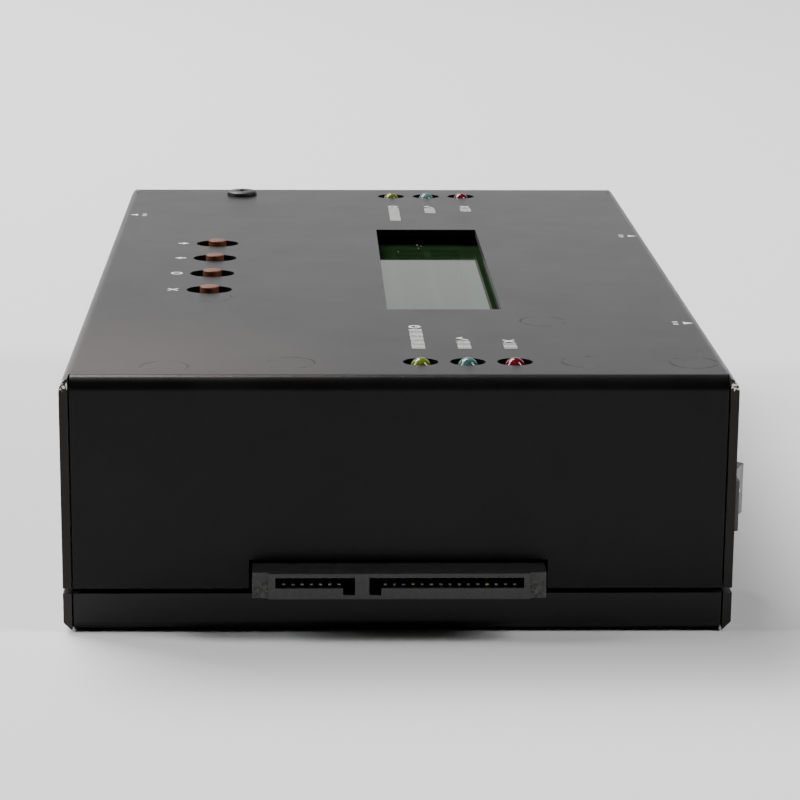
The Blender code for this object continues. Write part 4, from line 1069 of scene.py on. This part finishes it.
strip_low = (0, -strip_half_width, -strip_bare)
plain_solid(strip, strip_low, (strip_length, strip_half_width, strip_sunk), ease=strip_edge, steps=1)
first_strip = (
    tongue_low[0] + strip_root, middle_of("usb_tongue")[1] - strip_half_row,
    tongue_high[2] - tongue_thickness,
)
settle(repeated("tongue_contacts", strip, gilded.material, first_strip, 4, (0, strip_pitch, 0)), "case")
# A spring's bends in millimetres: how far in from the port's back, and how high above its floor.
spring_bends = [(1.0, 0.42), (3.5, 0.95), (5.5, 0.5), (8.0, 0.42)]
spring_gauge = 0.12 * MM
spring_width = 2.2 * MM
spring_from_middle = 3.0 * MM
shell_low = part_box("usb_shell")[0]
spring = bmesh.new()
for row in (-1, 1):
    spring_y = middle_of("usb_shell")[1] + row * spring_from_middle
    upper = [(shell_low[0] + x * MM, shell_low[2] + z * MM) for x, z in spring_bends]
    lower = [(x, z - spring_gauge) for x, z in reversed(upper)]
    made = raised_outline(spring, upper + lower, 0.0, spring_width)
    stand = Matrix.Translation((0, spring_y + spring_width / 2, 0)) @ Matrix.Rotation(math.pi / 2, 4, "X")
    bmesh.ops.transform(spring, matrix=stand, verts=made)
bmesh.ops.recalc_face_normals(spring, faces=spring.faces)
show_built(spring, "port_springs", nickel.material, "case")

# The fasteners: blackened cross-head screws through the cover, bright ones into the boards'
# posts, and turned hexagon posts.
oil_patch = 0.8 * MM
oil_grain = 0.1 * MM
oil_relief = 0.003 * MM
recess_arm = 0.42 * MM
blackened = Finish("blackened_steel", (0.014, 0.014, 0.015), 0.46, ior=1.45)
oiled = blackened.between(blackened.noise(oil_patch, detail=3.0), 0.3, 0.7)
blackened.vary(oiled, (0.010, 0.010, 0.011), (0.024, 0.023, 0.023), 0.40, 0.54)
blackened.emboss(blackened.noise(oil_grain), oil_relief)


def cross_headed(piece, tip, axis, reach, depth):
    """Cuts a cross recess into the head of a screw that points along the axis."""
    cutter = bmesh.new()
    for turn in (0.0, math.pi / 2):
        mouth = [(-reach, -recess_arm), (reach, -recess_arm), (reach, recess_arm), (-reach, recess_arm)]
        made = raised_outline(cutter, mouth, -depth, depth)
        for dot in made:
            if dot.co.z < 0:
                dot.co.x *= 0.35
                dot.co.y *= 0.6
        bmesh.ops.transform(cutter, matrix=Matrix.Rotation(turn, 4, "Z"), verts=made)
    facing = Vector(axis).to_track_quat("Z", "Y").to_matrix().to_4x4()
    bmesh.ops.transform(cutter, matrix=Matrix.Translation(tip) @ facing, verts=cutter.verts)
    tool = bpy.data.objects.new("recess_tool", mesh_from(cutter, "recess_tool", None))
    bpy.context.scene.collection.objects.link(tool)
    bpy.context.scene.collection.objects.link(piece)
    recess = piece.modifiers.new("cross_recess", "BOOLEAN")
    recess.operation = "DIFFERENCE"
    recess.solver = "EXACT"
    recess.use_self = True
    recess.object = tool
    bpy.context.view_layer.update()
    seen = piece.evaluated_get(bpy.context.evaluated_depsgraph_get())
    mesh = bpy.data.meshes.new_from_object(seen)
    name = piece.name
    bpy.data.objects.remove(piece)
    bpy.data.objects.remove(tool)
    mesh.set_sharp_from_angle(angle=smooth_angle)
    return bpy.data.objects.new(name, mesh)


def turned_screw(name, profile, tip, axis, material, reach, depth):
    """A lathed screw whose profile starts at its tip and runs down the axis."""
    builder = bmesh.new()
    lathed(builder, profile, (0, 0, 0), 36)
    facing = Vector(axis).to_track_quat("Z", "Y").to_matrix().to_4x4()
    bmesh.ops.transform(builder, matrix=Matrix.Translation(tip) @ facing, verts=builder.verts)
    bmesh.ops.recalc_face_normals(builder, faces=builder.faces)
    piece = bpy.data.objects.new(name, mesh_from(builder, name, material))
    return cross_headed(piece, tip, axis, reach, depth)


def threaded(radius, start, length, pitch):
    """The profile of a screw's shank, with its thread drawn as grooves."""
    profile = []
    for turn in range(int(length / pitch)):
        profile += [(radius, start - turn * pitch), (radius * 0.86, start - (turn + 0.5) * pitch)]
    return profile + [(radius * 0.8, start - length), (0, start - length)]


neck = 0.1 * MM
recess_depth = 0.9 * MM
low_head_height = 0.68 * MM
low_head_curve = [(0.7, 0.02 * MM), (0.88, 0.1 * MM), (0.97, 0.26 * MM), (1.0, low_head_height)]
low_shank_radius = 1.3 * MM
low_shank_length = 6.2 * MM
low_shank_pitch = 0.7 * MM
low_recess_reach = 1.5 * MM
top_low, top_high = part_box("top_screw")
head_radius = (top_high[0] - top_low[0]) / 2
low_head = [(0, 0)] + [(head_radius * share, -drop) for share, drop in low_head_curve]
low_head.append((low_shank_radius, -low_head_height))
low_shank = threaded(low_shank_radius, -low_head_height - neck, low_shank_length, low_shank_pitch)
top_tip = (*middle_of("top_screw")[:2], top_high[2])
top_screw = turned_screw(
    "cover_top_screw", low_head + low_shank, top_tip, (0, 0, 1),
    blackened.material, low_recess_reach, recess_depth,
)
settle(top_screw, "case", "top_screw")

fine_pitch = 0.5 * MM
sunk_head_height = 1.0 * MM
sunk_head_rim = 0.06 * MM
sunk_shank_radius = 1.2 * MM
sunk_shank_length = 3.7 * MM
sunk_recess_reach = 1.35 * MM
sunk_shank = threaded(sunk_shank_radius, -sunk_head_height - neck, sunk_shank_length, fine_pitch)
for side, way in (("left", -1), ("right", 1)):
    for row in ("near", "far"):
        solid = "side_screw_" + side + "_" + row
        low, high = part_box(solid)
        outer = high[0] if way > 0 else low[0]
        radius = (high[1] - low[1]) / 2
        sunk_head = [(0, 0), (radius * 0.94, 0), (radius, -sunk_head_rim)]
        sunk_head.append((sunk_shank_radius, -sunk_head_height))
        screw = turned_screw(
            "cover_" + solid, sunk_head + sunk_shank, (outer, *middle_of(solid)[1:]), (way, 0, 0),
            blackened.material, sunk_recess_reach, recess_depth,
        )
        settle(screw, "case", solid)

pan_head_height = 2.0 * MM
pan_head_curve = [(0.5, 0.05 * MM), (0.8, 0.35 * MM), (0.97, 0.95 * MM), (1.0, pan_head_height)]
pan_shank_radius = 1.25 * MM
pan_shank_end = 0.3 * MM
pan_recess_reach = 1.5 * MM
pan_recess_depth = 1.1 * MM
post_edge = 0.12 * MM
for number in ("1", "2", "3", "4"):
    solid = "board_screw_" + number
    low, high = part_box(solid)
    radius = (high[0] - low[0]) / 2
    pan_head = [(0, 0)] + [(radius * share, -drop) for share, drop in pan_head_curve]
    pan_head.append((pan_shank_radius, -pan_head_height))
    pan_shank_length = high[2] - low[2] - pan_head_height - pan_shank_end
    pan_shank = threaded(pan_shank_radius, -pan_head_height - neck, pan_shank_length, fine_pitch)
    screw = turned_screw(
        "pan_head_screw_" + number, pan_head + pan_shank, (*middle_of(solid)[:2], high[2]), (0, 0, 1),
        nickel.material, pan_recess_reach, pan_recess_depth,
    )
    settle(screw, "case", solid)
    dress("board_post_" + number, "hexagon_post_" + number, nickel.material, post_edge)
dress("top_post", "hexagon_top_post", nickel.material, post_edge)

# The boards: glass-epoxy boards with copper tracks under green solder resist, and rows of
# small soldered parts, seen through the openings and from inside.
board_edge = 0.08 * MM
track_length = 7.5 * MM
track_pitch = 0.9 * MM
track_width = 0.14 * MM
track_relief = 0.03 * MM
track_field = 9.0 * MM
glass_weave = 0.5 * MM
solder_resist = Finish("green_solder_resist", (0.01, 0.075, 0.03), 0.3)
track_pattern = solder_resist.tree.nodes.new("ShaderNodeTexBrick")
track_pattern.inputs["Color1"].default_value = (0, 0, 0, 1)
track_pattern.inputs["Color2"].default_value = (0, 0, 0, 1)
track_pattern.inputs["Mortar"].default_value = (1, 1, 1, 1)
track_pattern.inputs["Scale"].default_value = 1.0
track_pattern.inputs["Brick Width"].default_value = track_length
track_pattern.inputs["Row Height"].default_value = track_pitch
track_pattern.inputs["Mortar Size"].default_value = track_width
solder_resist.tree.links.new(solder_resist.position, track_pattern.inputs["Vector"])
routed = solder_resist.between(solder_resist.noise(track_field, detail=1.0), 0.46, 0.5)
tracks = solder_resist.sum("MULTIPLY", track_pattern.outputs["Color"], routed)
weave = solder_resist.noise(glass_weave, detail=1.0)
resist_tone = solder_resist.blend(weave, (0.007, 0.060, 0.024), (0.012, 0.085, 0.036))
solder_resist.drive("Base Color", solder_resist.blend(tracks, resist_tone, (0.03, 0.17, 0.07)))
solder_resist.drive("Roughness", solder_resist.between(weave, 0.3, 0.7, 0.24, 0.36))
solder_resist.emboss(tracks, track_relief)
for name in ("main_board", "control_board", "lcd_board"):
    dress(name, name + "_laminate", solder_resist.material, board_edge)

chip_cloud = 0.4 * MM
ceramic = Finish("dark_ceramic_chip", (0.02, 0.018, 0.017), 0.45)
ceramic_cloud = ceramic.noise(chip_cloud, detail=3.0)
ceramic.vary(ceramic_cloud, (0.014, 0.013, 0.012), (0.034, 0.03, 0.027), 0.35, 0.55, edges=(0.3, 0.7))
solder = Finish("dull_solder", (0.5, 0.49, 0.47), 0.35, metallic=1.0)
solder_cloud = solder.noise(chip_cloud, detail=3.0)
solder.vary(solder_cloud, (0.36, 0.355, 0.34), (0.6, 0.59, 0.57), 0.25, 0.45, edges=(0.3, 0.7))
main_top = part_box("main_board")[1][2]
control_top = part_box("control_board")[1][2]
# The first resistor's place, the columns and their pitch, and the rows and their pitch.
resistor_rows = {
    "resistors_beside_chip": ((8.0 * MM, -20.0 * MM, main_top), 6, 2.4 * MM, 5, 3.2 * MM),
    "resistors_by_front_socket": ((-20.0 * MM, -60.0 * MM, main_top), 12, 3.2 * MM, 2, 3.0 * MM),
    "resistors_by_rear_socket": ((-15.0 * MM, 57.0 * MM, main_top), 12, 3.2 * MM, 2, 3.0 * MM),
    "resistors_by_keys": ((-33.0 * MM, -30.0 * MM, control_top), 4, 2.6 * MM, 2, 3.0 * MM),
    "resistors_by_front_lamps": ((-6.0 * MM, -62.0 * MM, control_top), 3, 2.6 * MM, 4, 3.0 * MM),
    "resistors_by_rear_lamps": ((-6.0 * MM, 53.0 * MM, control_top), 3, 2.6 * MM, 4, 3.0 * MM),
}
chip_half = 0.8 * MM
chip_end = 0.3 * MM
chip_half_width = 0.4 * MM
chip_height = 0.45 * MM
chip_edge = 0.04 * MM
solder_half_width = 0.42 * MM
solder_height = 0.48 * MM
solder_edge = 0.05 * MM
for name, (first, columns, column_pitch, rows, row_pitch) in resistor_rows.items():
    spread = (first, columns, (column_pitch, 0, 0), rows, (0, row_pitch, 0))
    body = bmesh.new()
    body_half = chip_half - chip_end
    body_low = (-body_half, -chip_half_width, 0)
    plain_solid(body, body_low, (body_half, chip_half_width, chip_height), ease=chip_edge, steps=1)
    settle(repeated(name, body, ceramic.material, *spread), "case")
    ends = bmesh.new()
    for near_x, far_x in ((-chip_half, -body_half), (body_half, chip_half)):
        end_low = (near_x, -solder_half_width, 0)
        plain_solid(ends, end_low, (far_x, solder_half_width, solder_height), ease=solder_edge, steps=1)
    settle(repeated(name + "_ends", ends, solder.material, *spread), "case")

# The copying chip: a flat black package with gull-wing legs on four sides, under a finned
# heat sink that is glued on.
mould_patch = 0.6 * MM
mould_grain = 0.06 * MM
mould_relief = 0.004 * MM
package_edge = 0.2 * MM
mould = Finish("black_chip_mould", (0.016, 0.016, 0.017), 0.6)
mould.drive("Roughness", mould.between(mould.noise(mould_patch, detail=3.0), 0.3, 0.7, 0.52, 0.68))
mould.emboss(mould.noise(mould_grain), mould_relief)
dress("copy_chip", "chip_package", mould.material, package_edge)
chip_low, chip_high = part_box("copy_chip")
chip_middle = middle_of("copy_chip")
chip_place = Matrix.Translation((chip_middle[0], chip_middle[1], chip_low[2]))
leg_pitch = 0.65 * MM
leg_half = 0.14 * MM
legs_on_side = 20
leg_root = (chip_high[0] - chip_low[0]) / 2
# A leg's side outline in millimetres: how far out of the package, and how high above the board.
leg_bends = [
    (-0.1, 0.75), (0.35, 0.75), (0.65, 0.05), (1.3, 0.05),
    (1.3, -0.08), (0.58, -0.08), (0.28, 0.62), (-0.1, 0.62),
]
for side in range(4):
    leg = bmesh.new()
    raised_outline(leg, [(leg_root + x * MM, z * MM) for x, z in leg_bends], -leg_half, leg_half)
    bmesh.ops.transform(leg, matrix=Matrix.Rotation(math.pi / 2, 4, "X"), verts=leg.verts)
    bmesh.ops.recalc_face_normals(leg, faces=leg.faces)
    first = (0, -leg_pitch * (legs_on_side - 1) / 2, 0)
    name = "chip_legs_" + str(side + 1)
    row = repeated(name, leg, tinned.material, first, legs_on_side, (0, leg_pitch, 0))
    row.data.transform(chip_place @ Matrix.Rotation(side * math.pi / 2, 4, "Z"))
    settle(row, "case")
fin_grain = 0.12 * MM
fin_edge = 0.12 * MM
anodised = Finish("black_anodised_aluminium", (0.03, 0.03, 0.032), 0.4, metallic=0.7)
drawn_fins = anodised.noise(fin_grain, stretch=(1.0, 0.08, 1.0))
anodised.vary(drawn_fins, (0.022, 0.022, 0.024), (0.04, 0.04, 0.043), 0.32, 0.5, edges=(0.3, 0.7))
dress("heat_sink", "finned_heat_sink", anodised.material, fin_edge)

# The capacitor: an aluminium can in a dark sleeve, rolled in near its foot, with a scored
# bright top. The buzzer is a round black case with one sound hole.
can_low, can_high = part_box("capacitor")
can_middle = middle_of("capacitor")
can_place = (can_middle[0], can_middle[1], can_low[2])
can_radius = (can_high[0] - can_low[0]) / 2
can_height = can_high[2] - can_low[2]
sleeve_patch = 1.5 * MM
sleeve_finish = Finish("dark_printed_sleeve", (0.01, 0.014, 0.03), 0.3)
sleeve_cloud = sleeve_finish.noise(sleeve_patch)
sleeve_finish.vary(sleeve_cloud, (0.008, 0.011, 0.024), (0.013, 0.018, 0.038), 0.22, 0.36, edges=(0.3, 0.7))
# Each profile's points: a share of the can's radius, and a height above its foot or below its top.
can_rim = [(0.8, 0.0), (0.93, 0.05 * MM), (1.0, 0.45 * MM)]
can_roll = [(1.0, 1.9 * MM), (0.93, 1.5 * MM), (1.0, 1.1 * MM), (1.0, 0.2 * MM), (0.9, 0.0), (0.0, 0.0)]
lid_curve = [(0.0, 0.1 * MM), (0.78, 0.12 * MM), (0.82, 0.02 * MM), (0.82, 0.4 * MM), (0.0, 0.4 * MM)]
can_profile = [(can_radius * share, can_height - drop) for share, drop in can_rim]
can_profile += [(can_radius * share, rise) for share, rise in can_roll]
can = bmesh.new()
lathed(can, can_profile, can_place, 40)
show_built(can, "capacitor_can", sleeve_finish.material, "case", "capacitor")
score_width = 0.15 * MM
score_depth = 0.1 * MM
lid_grain = 0.3 * MM
can_lid = Finish("scored_aluminium", (0.55, 0.55, 0.56), 0.34, metallic=1.0)
lid_place = can_lid.along("SUBTRACT", can_lid.position, tuple(can_middle))
lid_axes = can_lid.tree.nodes.new("ShaderNodeSeparateXYZ")
can_lid.tree.links.new(lid_place, lid_axes.inputs[0])
from_middle = [can_lid.sum("ABSOLUTE", lid_axes.outputs[axis]) for axis in (0, 1)]
scores = can_lid.sum("MINIMUM", *from_middle)
can_lid.emboss(can_lid.between(scores, 0.0, score_width), score_depth)
can_lid.drive("Roughness", can_lid.between(can_lid.noise(lid_grain), 0.3, 0.7, 0.28, 0.42))
can_top = bmesh.new()
lathed(can_top, [(can_radius * share, can_height - drop) for share, drop in lid_curve], can_place, 40)
show_built(can_top, "capacitor_top", can_lid.material, "case")
buzzer_edge = 0.4 * MM
dress("buzzer", "buzzer_case", black_nylon.material, buzzer_edge, 3)

# The connectors between the boards: black pin strips with square gilded pins, and the white
# block of acrylic that spreads the light behind the display.
strip_corner = 0.25 * MM
pin_half = 0.32 * MM
pin_pitch = 2.54 * MM
pin_point = 0.1 * MM
link_count = 11
dress("board_link", "link_strip", black_nylon.material, strip_corner)
dress("lcd_header", "display_strip", black_nylon.material, strip_corner)
# For each strip: its pins along and across, and how far they stand out below and above.
pin_rows = {
    "link_pins": ("board_link", link_count, 2, 3.0 * MM, 3.4 * MM),
    "display_pins": ("lcd_header", 16, 1, 2.0 * MM, 2.3 * MM),
}
for name, (node_name, count, rows, below, above) in pin_rows.items():
    low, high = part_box(node_name)
    middle = middle_of(node_name)
    pins = bmesh.new()
    pin_top = high[2] - low[2] + above
    plain_solid(pins, (-pin_half, -pin_half, -below), (pin_half, pin_half, pin_top), ease=pin_point, steps=1)
    first = (middle[0] - pin_pitch * (rows - 1) / 2, middle[1] - pin_pitch * (count - 1) / 2, low[2])
    spread = (first, rows, (pin_pitch, 0, 0), count, (0, pin_pitch, 0))
    settle(repeated(name, pins, gilded.material, *spread), "case")
joint_profile = [(0, 0), (0.85 * MM, 0), (0.6 * MM, -0.35 * MM), (0.35 * MM, -1.0 * MM), (0, -1.05 * MM)]
joint = bmesh.new()
lathed(joint, joint_profile, (0, 0, 0), 14)
link_middle = middle_of("board_link")
first = (
    link_middle[0] - pin_pitch / 2, link_middle[1] - pin_pitch * (link_count - 1) / 2,
    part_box("main_board")[0][2],
)
spread = (first, 2, (pin_pitch, 0, 0), link_count, (0, pin_pitch, 0))
settle(repeated("link_solder_joints", joint, solder.material, *spread), "case")
acrylic_patch = 3.0 * MM
acrylic_grain = 0.2 * MM
acrylic_relief = 0.002 * MM
acrylic = Finish("white_light_acrylic", (0.7, 0.72, 0.66), 0.3)
acrylic.hold("Subsurface Weight", 0.2)
acrylic_cloud = acrylic.noise(acrylic_patch)
acrylic.drive("Base Color", acrylic.blend(acrylic_cloud, (0.62, 0.66, 0.56), (0.76, 0.78, 0.72)))
acrylic.emboss(acrylic.noise(acrylic_grain), acrylic_relief)
dress("lcd_light_block", "light_spreader", acrylic.material, strip_corner)
